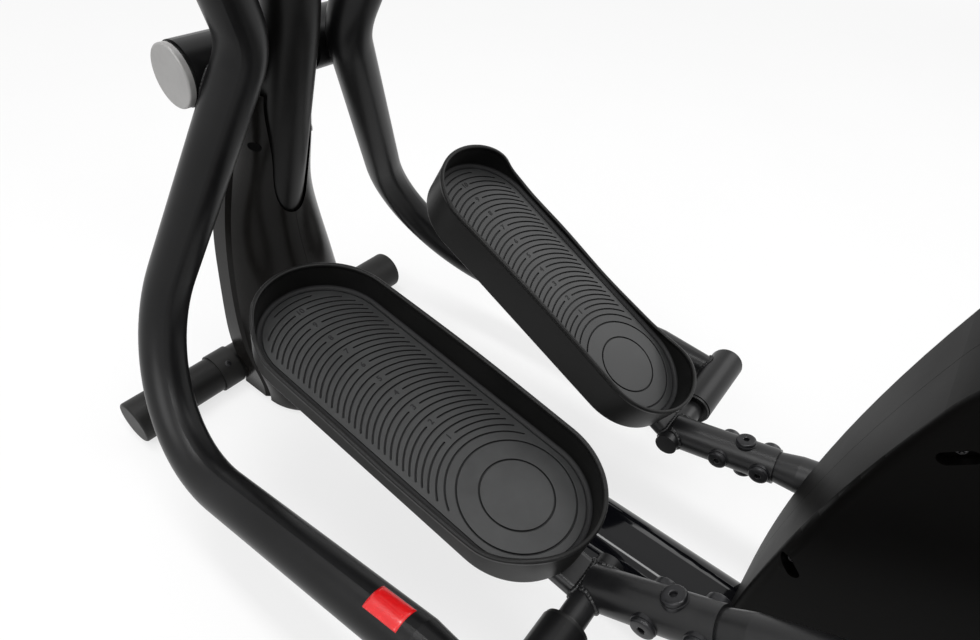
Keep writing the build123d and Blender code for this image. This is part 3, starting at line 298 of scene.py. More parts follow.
def fasten(name, head, spots, body, slot, *materials):
    """Set a fastener head at each (place, facing) with a node tree; one plain mesh that rides on a body."""
    tree = bpy.data.node_groups.new(name + "_set", "GeometryNodeTree")
    face = tree.interface
    face.new_socket("Spots", in_out="INPUT", socket_type="NodeSocketGeometry")
    head_in = face.new_socket("Head", in_out="INPUT", socket_type="NodeSocketObject")
    size_in = face.new_socket("Size", in_out="INPUT", socket_type="NodeSocketFloat")
    metal_in = face.new_socket("Finish", in_out="INPUT", socket_type="NodeSocketMaterial")
    face.new_socket("Fasteners", in_out="OUTPUT", socket_type="NodeSocketGeometry")
    entry = tree.nodes.new("NodeGroupInput")
    leave = tree.nodes.new("NodeGroupOutput")
    source = tree.nodes.new("GeometryNodeObjectInfo")
    facing = tree.nodes.new("GeometryNodeInputNamedAttribute")
    facing.data_type = "FLOAT_VECTOR"
    facing.inputs["Name"].default_value = "facing"
    turned = tree.nodes.new("FunctionNodeAlignRotationToVector")
    turned.axis = "Z"
    placed = tree.nodes.new("GeometryNodeInstanceOnPoints")
    real = tree.nodes.new("GeometryNodeRealizeInstances")
    coat = tree.nodes.new("GeometryNodeSetMaterial")
    for giver, out, taker, into in (
        (entry, "Head", source, "Object"), (entry, "Spots", placed, "Points"),
        (source, "Geometry", placed, "Instance"), (facing, "Attribute", turned, "Vector"),
        (turned, "Rotation", placed, "Rotation"), (entry, "Size", placed, "Scale"),
        (placed, "Instances", real, "Geometry"), (real, "Geometry", coat, "Geometry"),
        (entry, "Finish", coat, "Material"), (coat, "Geometry", leave, "Fasteners"),
    ):
        tree.links.new(giver.outputs[out], taker.inputs[into])
    cloud = bpy.data.meshes.new(name + "_spots")
    cloud.from_pydata([spot for spot, _ in spots], [], [])
    ways = cloud.attributes.new("facing", "FLOAT_VECTOR", "POINT")
    for index, (_, way) in enumerate(spots):
        ways.data[index].vector = Vector(way).normalized()
    carrier = bpy.data.objects.new(name + "_spots", cloud)
    pattern = bpy.data.objects.new(name + "_head", head)
    scene.collection.objects.link(carrier)
    scene.collection.objects.link(pattern)
    setting = carrier.modifiers.new("set", "NODES")
    setting.node_group = tree
    setting[head_in.identifier] = pattern
    setting[size_in.identifier] = 1.0
    setting[metal_in.identifier] = materials[0]
    ready = carrier.evaluated_get(bpy.context.evaluated_depsgraph_get())
    mesh = bpy.data.meshes.new_from_object(ready)
    mesh.materials.clear()
    carrier.modifiers.remove(setting)
    bpy.data.objects.remove(carrier)
    bpy.data.objects.remove(pattern)
    made = piece(name, mesh, *materials)
    kinds = [polygon.material_index for polygon in head.polygons]
    for polygon in mesh.polygons:
        polygon.material_index = min(kinds[polygon.index % len(kinds)], len(materials) - 1)
    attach(made, body)
    return made


black_screw = finish("black_screw", (0.012, 0.012, 0.013), (0.03, 0.03, 0.032), (0.25, 0.4), cloud=120.0,
                     grain=3000.0, bump=0.1, Metallic=0.6)
# Near-black matt finish for hollows: painted shade in the cross recesses of the screw heads and on the discs
# in the shroud wells.
painted_recess_shade = finish("painted_recess_shade", (0.001, 0.001, 0.001), (0.002, 0.002, 0.002), (0.7, 0.9), cloud=300.0,
                      Specular_IOR_Level=0.05)
collar_low, collar_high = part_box("stabilizer_collars")
collar_radius = (collar_high.z - collar_low.z) / 2
screw_way = Vector((-0.62, 0, 0.78)).normalized()
screw_from_end = 15 * mm
collar_spots = []
for side in (1, -1):
    middle = Vector(((collar_low.x + collar_high.x) / 2, side * (collar_high.y - screw_from_end),
                     collar_low.z + collar_radius))
    collar_spots.append((middle + screw_way * collar_radius, screw_way))
fasten("collar_screws", cross_head(4.2 * mm, 1.9 * mm), collar_spots, "frame", "steel", black_screw,
       painted_recess_shade)

# Shroud: two thin moulded halves round the mast foot, meeting in a seam down the middle.
# They are screwed together through a deep oval well in each side. Each well is drawn as a thin near-black
# oval disc on the shroud: painted shade in place of the hole.
shroud_plastic = finish("shroud_plastic", (0.0045, 0.0041, 0.0037), (0.0085, 0.0078, 0.0071), (0.17, 0.27),
                        cloud=11.0, grain=2600.0, bump=0.16, depth=0.0001, Specular_IOR_Level=0.13)
dress(shroud_plastic, "shroud_left", "shroud_right")


def skin(name):
    """Search tree over one CAD node's surface."""
    mesh = nodes[name].data
    return BVHTree.FromPolygons([v.co for v in mesh.vertices], [p.vertices for p in mesh.polygons])


well_x, well_z = 0.530, 0.383
well_stretch = 1.5
beyond = 0.3
# Each well is a thin near-black oval disc laid on the shroud side: painted shade where the deep hole would
# be.
well_shade_shape = lathe("shroud_well_shade", [
    (0, 0.06 * mm), (4.3 * mm, 0.06 * mm), (4.7 * mm, 0.14 * mm), (5.2 * mm, 0.14 * mm),
    (5.5 * mm, -0.6 * mm), (0, -0.6 * mm),
], 28)
for name, side in (("left", 1), ("right", -1)):
    hit = skin("shroud_" + name).ray_cast(Vector((well_x, side * beyond, well_z)), Vector((0, -side, 0)))
    well = well_shade_shape.copy()
    lean = hit[1].to_track_quat("Z", "X").to_matrix().to_4x4()
    well.transform(Matrix.Translation(hit[0]) @ lean @ Matrix.Diagonal((1.0, well_stretch, 1.0, 1.0)))
    shroud_well_shade = piece("shroud_well_" + name, well, painted_recess_shade)
    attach(shroud_well_shade, "frame")

# Drive: forged crank arms and a welded frame in satin coat, moulded pulley, ribbed belt, cast flywheel and
# a magnet brake, all inside the housing; the axles and pins are turned from bright steel.
dress(powder_coat, "drive_frame", "brake_shoe", "crank_arm_left", "crank_arm_right")
turned_steel = finish("turned_steel", (0.42, 0.42, 0.43), (0.56, 0.56, 0.57), (0.24, 0.36), cloud=60.0,
                      grain=2500.0, bump=0.12, Metallic=1.0)
dress(turned_steel, "crank_axle", "crank_bearings", "flywheel_axle", "brake_pin", "left_crank_pin",
      "right_crank_pin")
pulley_plastic = finish("pulley_plastic", (0.03, 0.03, 0.03), (0.05, 0.05, 0.05), (0.4, 0.5), cloud=30.0)
dress(pulley_plastic, "crank_pulley")
cast_iron = finish("cast_iron", (0.10, 0.10, 0.105), (0.17, 0.17, 0.175), (0.45, 0.6), cloud=80.0, bump=0.4,
                   Metallic=0.9)
dress(cast_iron, "flywheel")
belt_rubber = finish("belt_rubber", (0.008, 0.008, 0.008), (0.015, 0.015, 0.015), (0.5, 0.65), cloud=60.0)
dress(belt_rubber, "drive_belt")
magnet_nickel = finish("magnet_nickel", (0.4, 0.4, 0.39), (0.5, 0.5, 0.49), (0.2, 0.3), cloud=90.0,
                       Metallic=1.0)
dress(magnet_nickel, "brake_magnets")

# Drive housing: two large moulded halves with a satin skin, closed round the drive.
# Screws hold them from each side, set deep in slanted oval wells.
housing_plastic = finish("housing_plastic", (0.0012, 0.0011, 0.001), (0.0024, 0.0022, 0.002), (0.4, 0.48),
                         cloud=7.0, grain=2800.0, bump=0.1, depth=0.0001, Specular_IOR_Level=0.035)
dress(housing_plastic, "housing_left", "housing_right")
zinc_screw = finish("zinc_screw", (0.30, 0.30, 0.31), (0.42, 0.42, 0.43), (0.3, 0.42), cloud=150.0,
                    Metallic=0.9)
housing_wells = ((-101.7, 290), (-132.6, 449), (-608.5, 290), (-603, 449))
housing_spots = []
for name, side in (("left", 1), ("right", -1)):
    housing_skin = skin("housing_" + name)
    for x, z in housing_wells:
        hit = housing_skin.ray_cast(Vector((x * mm, side * beyond, z * mm)), Vector((0, -side, 0)))
        housing_spots.append((hit[0], Vector((0, side, 0))))
fasten("housing_screws", cross_head(3.6 * mm, 2.0 * mm), housing_spots, "frame", "steel", zinc_screw,
       painted_recess_shade)

# Pivot: a turned steel axle through the mast boss with plastic spacers.
# Each end is closed by a silver-grey plastic cap with a bright rounded bead.
bush_plastic = finish("bush_plastic", (0.006, 0.006, 0.006), (0.012, 0.012, 0.012), (0.3, 0.42), cloud=60.0,
                      Specular_IOR_Level=0.3)
dress(bush_plastic, "pivot_spacers", "left_arm_bushes", "right_arm_bushes")
dress(turned_steel, "pivot_axle")
silver_plastic = finish("silver_plastic", (0.30, 0.295, 0.29), (0.36, 0.355, 0.35), (0.36, 0.46), cloud=40.0,
                        grain=4000.0, bump=0.08, Metallic=0.15)
dress(silver_plastic, "pivot_caps")

# Swinging arms: bent steel tube, swaged at the heel, with cross sleeves welded on and coated after welding.
# The hand-laid beads show through the coat as rows of overlapping scales.
# A ribbed plastic seal closes the inner end of each heel sleeve.
sides = {"left": 1, "right": -1}
arm_swing = {"left": 0.002, "right": 6.016}
pivot_at = {joint["name"]: Vector(joint["pos_m"]) for joint in frame["joints"] if "pos_m" in joint}


def creases(name, keep, fold=math.radians(-22), fewest=5, closing=6 * mm):
    """Chains of inward corners on a welded CAD node, where two of its tubes meet."""
    shape = bmesh.new()
    shape.from_mesh(nodes[name].data)
    bmesh.ops.remove_doubles(shape, verts=shape.verts, dist=0.02 * mm)
    touching = {}
    for edge in shape.edges:
        if len(edge.link_faces) != 2 or edge.calc_face_angle_signed() > fold:
            continue
        if not keep((edge.verts[0].co + edge.verts[1].co) / 2):
            continue
        lift = (edge.link_faces[0].normal + edge.link_faces[1].normal).normalized()
        for one, other in (edge.verts, reversed(edge.verts)):
            touching.setdefault(one.index, []).append((other.index, lift.copy()))
    spots = {v.index: v.co.copy() for v in shape.verts}
    shape.free()
    chains = []
    unused = set(touching)
    while unused:
        ends = [v for v in sorted(unused) if len(touching[v]) == 1]
        at = ends[0] if ends else min(unused)
        chain = []
        while at is not None:
            unused.discard(at)
            lift = sum((way for _, way in touching[at]), Vector()).normalized()
            chain.append((spots[at], lift))
            onward = [other for other, _ in touching[at] if other in unused]
            at = onward[0] if onward else None
        if len(chain) > fewest:
            if (chain[0][0] - chain[-1][0]).length < closing:
                chain.append(chain[0])
            chains.append(chain)
    return chains


def weld_beads(name, source, keep, body, coat, bead=2.1 * mm):
    """Rippled weld beads along the inward corners of a node."""
    around, cut_length, scale_pitch, wander_length = 8, 0.7 * mm, 3.4 * mm, 7.3 * mm
    shape = bmesh.new()
    for chain in creases(source, keep):
        steps = []
        for (start, lift), (end, next_lift) in zip(chain, chain[1:]):
            cuts = max(1, round((end - start).length / cut_length))
            for cut in range(cuts):
                part = cut / cuts
                steps.append((start.lerp(end, part), lift.lerp(next_lift, part).normalized()))
        steps.append(chain[-1])
        gone = 0.0
        rings = []
        for index, (spot, lift) in enumerate(steps):
            before = steps[max(index - 1, 0)][0]
            after = steps[min(index + 1, len(steps) - 1)][0]
            along = (after - before).normalized()
            gone += (spot - before).length
            phase = (gone / scale_pitch) % 1.0
            wander = math.sin(gone / wander_length) * 0.12
            radius = bead * (0.82 + 0.3 * (1 - phase) ** 1.5 + wander)
            beside = along.cross(lift).normalized()
            centre = spot + lift * bead * 0.1
            ring = []
            for step in range(around):
                angle = 2 * math.pi * step / around
                out = beside * math.cos(angle) + lift * math.sin(angle)
                ring.append(shape.verts.new(centre + out * radius))
            rings.append(ring)
        join_rows(shape, rings)
        shape.faces.new(rings[0])
        shape.faces.new(rings[-1])
    made = piece(name, settle(shape, name, smooth=True), coat)
    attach(made, body)


def on_arm(name, x, y, z):
    """Point of a swinging arm's own frame: mm from the pivot, y from the machine's middle."""
    pivot = pivot_at[name + "_swing"]
    turn = math.radians(arm_swing[name])
    out_x = pivot.x + (x * math.cos(turn) - z * math.sin(turn)) * mm
    out_z = pivot.z + (x * math.sin(turn) + z * math.cos(turn)) * mm
    return Vector((out_x, sides[name] * y * mm, out_z))


arm_coat = finish("arm_powder_coat", (0.0032, 0.0032, 0.0034), (0.0068, 0.0068, 0.0072), (0.28, 0.38),
                  cloud=10.0, grain=1700.0, bump=0.14, depth=0.0001, Specular_IOR_Level=0.23)
pivot_reach, heel_reach = 36 * mm, 30 * mm
seal_face = 172 * mm
seal_ribs = (13.6, 15.4, 17.2, 19.0)
rib_profile = ((-0.8, -0.4), (-0.45, 0.75), (0.45, 0.75), (0.8, -0.4))
for name, side in sides.items():
    dress(arm_coat, name + "_swing_arm", name + "_moving_handle")
    pivot = pivot_at[name + "_swing"]
    heel = pivot_at[name + "_heel"]
    weld_beads(
        name + "_arm_welds",
        name + "_swing_arm",
        lambda spot: min((spot.xz - pivot.xz).length - pivot_reach,
                         (spot.xz - heel.xz).length - heel_reach) < 0,
        name + "_arm",
        arm_coat,
    )
    rings = [((radius + out) * mm, height * mm) for radius in seal_ribs for out, height in rib_profile]
    seal = lathe(name + "_heel_seal", rings + rings[:1], 64)
    inward = Vector((0, -side, 0)).to_track_quat("Z", "X").to_matrix().to_4x4()
    seal.transform(Matrix.Translation((heel.x, side * seal_face, heel.z)) @ inward)
    heel_seal = piece(name + "_heel_seal", seal, bush_plastic)
    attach(heel_seal, name + "_arm")

# Label on the left arm: a bare patch of red vinyl with a glossy face.
# It is stuck on the lower run near the heel and wraps part of the way round the tube.
label_from, label_to = 98 * mm, 136 * mm
label_turn = (-35.0, 27.0)
label_thickness, label_sink, edge_sink = 0.4 * mm, 0.15 * mm, 0.3 * mm
long_steps, round_steps = 12, 20
arm_radius = 23.6 * mm
arm_side_y = 252 * mm
run_end = Vector((pivot_at["left_heel"].x, arm_side_y, pivot_at["left_heel"].z))
run_knee = Vector((563.1 * mm, arm_side_y, 106.6 * mm))
run_way = (run_knee - run_end).normalized()
run_up = Vector((0, -1, 0)).cross(run_way).normalized()
shape = bmesh.new()
rows = []
for long_step in range(long_steps + 1):
    place = run_end + run_way * (label_from + (label_to - label_from) * long_step / long_steps)
    row = []
    for step in range(round_steps + 1):
        angle = math.radians(label_turn[0] + (label_turn[1] - label_turn[0]) * step / round_steps)
        out = run_up * math.cos(angle) + Vector((0, 1, 0)) * math.sin(angle)
        at_edge = long_step in (0, long_steps) or step in (0, round_steps)
        row.append(shape.verts.new(place + out * (arm_radius - (edge_sink if at_edge else label_sink))))
    rows.append(row)
for one, other in zip(rows, rows[1:]):
    for step in range(round_steps):
        shape.faces.new((one[step], one[step + 1], other[step + 1], other[step]))
shape.normal_update()
bmesh.ops.solidify(shape, geom=shape.faces[:], thickness=label_thickness)
label_vinyl = finish("label_vinyl", (0.62, 0.005, 0.008), (0.74, 0.01, 0.012), (0.22, 0.3), cloud=70.0,
                     Coat_Weight=0.3)
arm_label = piece("arm_label", settle(shape, "arm_label", smooth=True), label_vinyl)
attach(arm_label, "left_arm")

# Pedal links: a clamp tube welded to the heel axle, with a necked rear tube inside it.
# Three broad-headed bolts with hexagon sockets draw them together, each on a saddle washer.
link_coat = finish("link_powder_coat", (0.006, 0.006, 0.0065), (0.013, 0.013, 0.0135), (0.28, 0.42),
                   cloud=18.0, grain=1600.0, bump=0.18, depth=0.0001, Specular_IOR_Level=0.34)
pedal_pitch = {"left": 9.872, "right": 26.795}
link_slope = math.radians(41.7)
link_y = 127.5
link_radius = 19.0
cross_bolts = (57.0, 101.0)
clamp_bolt = 79.0
weld_reach = 34 * mm


def on_link(name, x, y, z):
    """Point of a pedal link's own frame: mm from the heel joint, x along the pedal, y from the middle."""
    heel = pivot_at[name + "_heel"]
    turn = math.radians(pedal_pitch[name])
    out_x = heel.x + (x * math.cos(turn) - z * math.sin(turn)) * mm
    out_z = heel.z + (x * math.sin(turn) + z * math.cos(turn)) * mm
    return Vector((out_x, sides[name] * y * mm, out_z))


def way_on_link(name, x, y, z):
    """Direction of a pedal link's own frame."""
    return (on_link(name, x, y, z) - on_link(name, 0, 0, 0)).normalized()


def bolt_head(radius, height, socket):
    """Broad flat bolt head on its washer, with a rounded edge and a hexagon socket, seated on z = 0."""
    washer_foot = -3.4 * mm
    turned = lathe("bolt_head", [
        (0, washer_foot), (1.04 * radius, washer_foot), (1.04 * radius, 0.1 * height),
        (0.97 * radius, 0.14 * height), (0.97 * radius, 0.62 * height), (0.94 * radius, 0.8 * height),
        (0.88 * radius, 0.92 * height), (0.8 * radius, 0.97 * height), (0.55 * radius, height),
        (1.13 * socket, height), (1.02 * socket, 0.93 * height),
    ], 48)
    shape = bmesh.new()
    shape.from_mesh(turned)
    bpy.data.meshes.remove(turned)
    rim = [v for v in shape.verts if abs(v.co.z - 0.93 * height) < 1e-6 and v.co.xy.length < 1.05 * socket]
    rim.sort(key=lambda v: math.atan2(v.co.y, v.co.x))
    wall = []
    for vert in rim:
        angle = math.atan2(vert.co.y, vert.co.x)
        fold = (angle + math.pi / 6) % (math.pi / 3) - math.pi / 6
        reach = 0.86 * socket / math.cos(fold)
        wall.append((reach * math.cos(angle), reach * math.sin(angle)))
    top = [shape.verts.new((x, y, 0.9 * height)) for x, y in wall]
    foot = [shape.verts.new((x, y, 0.25 * height)) for x, y in wall]
    count = len(rim)
    for step in range(count):
        after = (step + 1) % count
        shape.faces.new((rim[step], top[step], top[after], rim[after]))
        shape.faces.new((top[step], foot[step], foot[after], top[after]))
    shape.faces.new(foot)
    return settle(shape, "bolt_head", smooth=True, sharp=30)


bolt_black = finish("black_oxide_bolt", (0.008, 0.008, 0.009), (0.02, 0.02, 0.022), (0.24, 0.4), cloud=90.0,
                    grain=2600.0, bump=0.08, Metallic=0.3, Specular_IOR_Level=0.4)
slope_x, slope_z = math.cos(link_slope), math.sin(link_slope)
for name, side in sides.items():
    dress(link_coat, name + "_link_front", name + "_link_rear")
    bolt_spots = []
    for back in cross_bolts:
        for hand in (1, -1):
            spot = on_link(name, -back * slope_x, link_y + hand * link_radius, back * slope_z)
            bolt_spots.append((spot, Vector((0, hand * side, 0))))
    for hand in (1, -1):
        lift = hand * link_radius
        x = -clamp_bolt * slope_x + lift * slope_z
        z = clamp_bolt * slope_z + lift * slope_x
        bolt_spots.append((on_link(name, x, link_y, z), way_on_link(name, hand * slope_z, 0, hand * slope_x)))
    bolts = fasten(name + "_bolt_heads", bolt_head(10.6 * mm, 4.6 * mm, 3.3 * mm), bolt_spots, name + "_link",
                   "satin_black", bolt_black)
    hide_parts(name + "_link_bolts")
    heel = pivot_at[name + "_heel"]
    weld_beads(name + "_link_welds", name + "_link_front",
               lambda spot: (spot.xz - heel.xz).length < weld_reach, name + "_link", link_coat, bead=2.4 * mm)

# Pedal trays: thick moulded trays with a rounded lip all round, tall on the inside and low on the outside.
# They are screwed down on the flat support of the link.
tray_plastic = finish("tray_plastic", (0.0036, 0.0036, 0.0035), (0.0072, 0.0071, 0.0069), (0.34, 0.46),
                      cloud=16.0, grain=2400.0, bump=0.28, depth=0.0001, Specular_IOR_Level=0.19)
pedal_y = 120.0
pedal_middle = 215.0
tray_radius = 70.0
tray_straight = 120.0
tray_wall = 4.0
well_above = 200.0
lip_profile = ((-0.15, -3.0), (-0.15, 0.1), (0.25, 0.8), (1.1, 1.25), (2.0, 1.4), (2.9, 1.25), (3.75, 0.8),
               (4.15, 0.1), (4.15, -3.0))


def stadium(inset, arc_steps=44, run_steps=60):
    """Loop of points on the pedal's outline, moved inwards; loops of any inset match point for point."""
    radius = tray_radius - inset
    loop = []
    for step in range(run_steps):
        loop.append((-tray_straight + 2 * tray_straight * step / run_steps, -radius))
    for step in range(arc_steps):
        angle = -math.pi / 2 + math.pi * step / arc_steps
        loop.append((tray_straight + radius * math.cos(angle), radius * math.sin(angle)))
    for step in range(run_steps):
        loop.append((tray_straight - 2 * tray_straight * step / run_steps, radius))
    for step in range(arc_steps):
        angle = math.pi / 2 + math.pi * step / arc_steps
        loop.append((-tray_straight + radius * math.cos(angle), radius * math.sin(angle)))
    return loop


for name in sides:
    dress(tray_plastic, name + "_pedal_tray")
    tray_skin = skin(name + "_pedal_tray")
    fall = -way_on_link(name, 0, 0, 1)
    heights = []
    for x, y in stadium(tray_wall / 2):
        start = on_link(name, pedal_middle + x, pedal_y + y, well_above)
        heights.append(well_above - tray_skin.ray_cast(start, fall)[3] / mm)
    shape = bmesh.new()
    rows = []
    for inset, lift in lip_profile:
        row = []
        for (x, y), top in zip(stadium(inset), heights):
            row.append(shape.verts.new(on_link(name, pedal_middle + x, pedal_y + y, top + lift)))
        rows.append(row)
    join_rows(shape, rows + rows[:1])
    tray_lip = piece(name + "_tray_lip", settle(shape, name + "_tray_lip", smooth=True), tray_plastic)
    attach(tray_lip, name + "_link")

# Pedal mats: moulded rubber laid in the tray, with arched grooves three to a number step and the numbers
# 1 to 10 for the foot's place, a smooth round heel pad and a coved edge that meets the tray's wall.
# The groove walls and floors, the heel rings and the coved edge are in the numbers' darker rubber: painted
# shade.
mat_rubber = finish("mat_rubber", (0.013, 0.0134, 0.0136), (0.021, 0.0216, 0.0218), (0.42, 0.54), cloud=22.0,
                    grain=1900.0, bump=0.22, depth=0.0001, Specular_IOR_Level=0.45)
heel_rubber = finish("heel_rubber", (0.013, 0.0134, 0.0136), (0.026, 0.0267, 0.027), (0.4, 0.52), cloud=26.0,
                     grain=2600.0, bump=0.1, depth=0.0001, Specular_IOR_Level=0.45)
# Darker rubber of the raised numbers. It is also laid on the grooves, heel rings and coved edge as painted
# shade.
figure_and_painted_shade_rubber = finish("figure_and_painted_shade_rubber", (0.008, 0.008, 0.0085), (0.013, 0.013, 0.0135), (0.5, 0.62),
                       cloud=60.0, Specular_IOR_Level=0.2)
mat_top = 23.0
mat_gap = 0.4
field_inset = tray_wall + 6.0
groove_width = 2.1
groove_profile = ((0.5, 0.0), (0.43, 0.12), (0.35, 0.5), (0.28, 1.6))
heel_centre = Vector((97.0, 0.0))
heel_radius = 54.0
motif_radius = 34.0
heel_clear = 3.4
toe_clear = 5.0
arc_count = 32
arc_pitch = 22.0 / 3.0
first_arc = 161.3
arc_radius = 74.0
first_radii = {0: 62.0, 1: 69.0}
arc_reach = 54.0
shortest_reach = 8
number_gap = 7.6
number_height, number_thickness = 8.6 * mm, 0.6 * mm
edge_profile = ((mat_gap + tray_wall, -4.0), (mat_gap + tray_wall, 3.0), (tray_wall + 0.7, 1.9),
                (tray_wall + 1.3, 1.1), (tray_wall + 2.3, 0.45), (tray_wall + 3.6, 0.1),
                (tray_wall + 4.4, 0.0), (tray_wall + 4.7, -0.9), (tray_wall + 5.7, -0.9), (field_inset, 0.0))


def capsule(line, width):
    """Closed outline round a bent line, with round ends."""
    left, right = [], []
    for index, spot in enumerate(line):
        before = line[max(index - 1, 0)]
        after = line[min(index + 1, len(line) - 1)]
        along = (after - before).normalized()
        off = Vector((-along.y, along.x)) * width / 2
        left.append(spot + off)
        right.append(spot - off)
    rounds = []
    for tip, inner in ((line[-1], line[-2]), (line[0], line[1])):
        along = (tip - inner).normalized()
        off = Vector((-along.y, along.x))
        turn = []
        for step in (1, 2, 3):
            angle = math.pi * step / 4
            turn.append(tip + (off * math.cos(angle) + along * math.sin(angle)) * width / 2)
        rounds.append(turn)
    return left + rounds[0] + right[::-1] + rounds[1]


def circle(centre, radius, steps=96):
    """Closed round outline."""
    loop = []
    for step in range(steps):
        angle = 2 * math.pi * step / steps
        loop.append(centre + Vector((math.cos(angle), math.sin(angle))) * radius)
    return loop


def inside(spot, outline):
    """Whether a point lies within a closed outline."""
    if not min(p.x for p in outline) < spot.x < max(p.x for p in outline):
        return False
    crossed = False
    for one, other in zip(outline, outline[1:] + outline[:1]):
        if (one.y > spot.y) != (other.y > spot.y):
            part = (spot.y - one.y) / (other.y - one.y)
            crossed ^= spot.x < one.x + part * (other.x - one.x)
    return crossed


def arc_line(top_x, radius, low, high):
    """Points on one arched groove between two cross places."""
    count = max(4, round(abs(high - low) / 3.0))
    line = []
    for step in range(count + 1):
        y = low + (high - low) * step / count
        line.append(Vector((top_x - radius + math.sqrt(radius**2 - y**2), y)))
    return line


def tread_lines():
    """Centre lines of all arched grooves, shortened at the toe and split where a number stands."""
    lines = []
    toe_centre = Vector((pedal_middle + tray_straight, 0))
    toe_limit = tray_radius - field_inset - toe_clear
    for index in range(arc_count):
        top_x = first_arc + index * arc_pitch
        radius = first_radii.get(index, arc_radius)
        reach = arc_reach
        while reach > shortest_reach:
            end = arc_line(top_x, radius, 0, reach)[-1]
            if end.x < toe_centre.x or (end - toe_centre).length < toe_limit:
                break
            reach -= 0.5
        spans = [(-reach, reach)]
        if index % 3 == 2:
            spans = [(-reach, -number_gap), (number_gap, reach)]
        for low, high in spans:
            line = arc_line(top_x, radius, low, high)
            line = [spot for spot in line if (spot - heel_centre).length > heel_radius + heel_clear]
            if len(line) > 3:
                lines.append(line)
    return lines


def pedal_mat(name):
    """Whole mat as one closed mesh: grooved field, heel pad, coved edge, side and underside."""
    outlines = [[Vector((pedal_middle + x, y)) for x, y in stadium(field_inset)]]
    grooves = []
    for line in tread_lines():
        levels = [capsule(line, 2 * reach * groove_width) for reach, _ in groove_profile]
        grooves.append(levels)
        outlines.append(levels[0])
    rings = []
    for radius in (heel_radius, motif_radius):
        ring = []
        for reach, drop in groove_profile:
            ring.append((circle(heel_centre, radius + reach * groove_width), drop))
        for reach, drop in reversed(groove_profile):
            ring.append((circle(heel_centre, radius - reach * groove_width), drop))
        rings.append(ring)
        outlines.append(ring[0][0])
        outlines.append(ring[-1][0])
    spots, loops = [], []
    for outline in outlines:
        loops.append(list(range(len(spots), len(spots) + len(outline))))
        spots.extend(outline)
    flat, _, cells, _, _, _ = delaunay_2d_cdt(spots, [], loops, 0, 1e-5)
    shape = bmesh.new()

    def vertex(spot, drop):
        return shape.verts.new(on_link(name, spot.x, pedal_y + spot.y * sides[name], mat_top - drop))

    tops = [vertex(spot, 0.0) for spot in flat]
    for cell in cells:
        middle = sum((flat[index] for index in cell), Vector((0, 0))) / len(cell)
        from_heel = (middle - heel_centre).length
        in_ring = any(abs(from_heel - radius) < groove_width / 2 for radius in (heel_radius, motif_radius))
        if in_ring or not inside(middle, outlines[0]) or any(inside(middle, levels[0]) for levels in grooves):
            continue
        top_face = shape.faces.new([tops[index] for index in cell])
        top_face.material_index = 1 if from_heel < heel_radius else 0
    groove_faces_in_painted_shade = []
    for levels in grooves:
        rows = []
        for outline, (_, drop) in zip(levels, groove_profile):
            rows.append([vertex(spot, drop) for spot in outline])
        groove_faces_in_painted_shade += join_rows(shape, rows)[len(rows[0]):]
        groove_faces_in_painted_shade.append(shape.faces.new(rows[-1]))
    for ring in rings:
        rows = [[vertex(spot, drop) for spot in outline] for outline, drop in ring]
        groove_faces_in_painted_shade += join_rows(shape, rows)[len(rows[0]):-len(rows[0])]
    rows = []
    for inset, lift in edge_profile:
        rows.append([vertex(Vector((pedal_middle + x, y)), -lift) for x, y in stadium(inset)])
    # Coved edge, groove walls and floors and heel rings take the darker rubber: painted shade.
    for face in join_rows(shape, rows) + groove_faces_in_painted_shade:
        face.material_index = 2
    shape.faces.new(rows[0])
    return settle(shape, name + "_mat", merge=0.01 * mm, sharp=24)


def number_shape(words, height, thickness):
    """Plain figures as a mesh in the XY plane, centred."""
    text = bpy.data.curves.new("figures", "FONT")
    text.body = words
    text.size = height
    text.align_x = "CENTER"
    text.align_y = "CENTER"
    text.extrude = thickness / 2
    text.offset = 0.015 * height
    text.resolution_u = 3
    holder = bpy.data.objects.new("figures", text)
    scene.collection.objects.link(holder)
    drawn = bpy.data.meshes.new_from_object(holder.evaluated_get(bpy.context.evaluated_depsgraph_get()))
    bpy.data.objects.remove(holder)
    return drawn


def add_figures(shape, words, height, thickness, place, turn):
    """Lay plain figures in a shape."""
    drawn = number_shape(words, height, thickness)
    drawn.transform(Matrix.Translation(place) @ turn)
    shape.from_mesh(drawn)
    bpy.data.meshes.remove(drawn)


for name in sides:
    mat = piece(name + "_mat", pedal_mat(name), mat_rubber, heel_rubber, figure_and_painted_shade_rubber)
    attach(mat, name + "_link")
    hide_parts(name + "_pedal_mat")
    toe = way_on_link(name, 1, 0, 0)
    above = way_on_link(name, 0, 0, 1)
    reading = toe.cross(above).normalized()
    number_turn = Matrix((reading, toe, above)).transposed().to_4x4()
    shape = bmesh.new()
    for number in range(1, 11):
        number_x = first_arc + (3 * number - 1) * arc_pitch + 0.6
        place = on_link(name, number_x, pedal_y, mat_top + 0.05)
        add_figures(shape, str(number), number_height, number_thickness, place, number_turn)
    number_mesh = settle(shape, name + "_mat_numbers", merge=0.001 * mm)
    numbers = piece(name + "_mat_numbers", number_mesh, figure_and_painted_shade_rubber)
    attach(numbers, name + "_link")

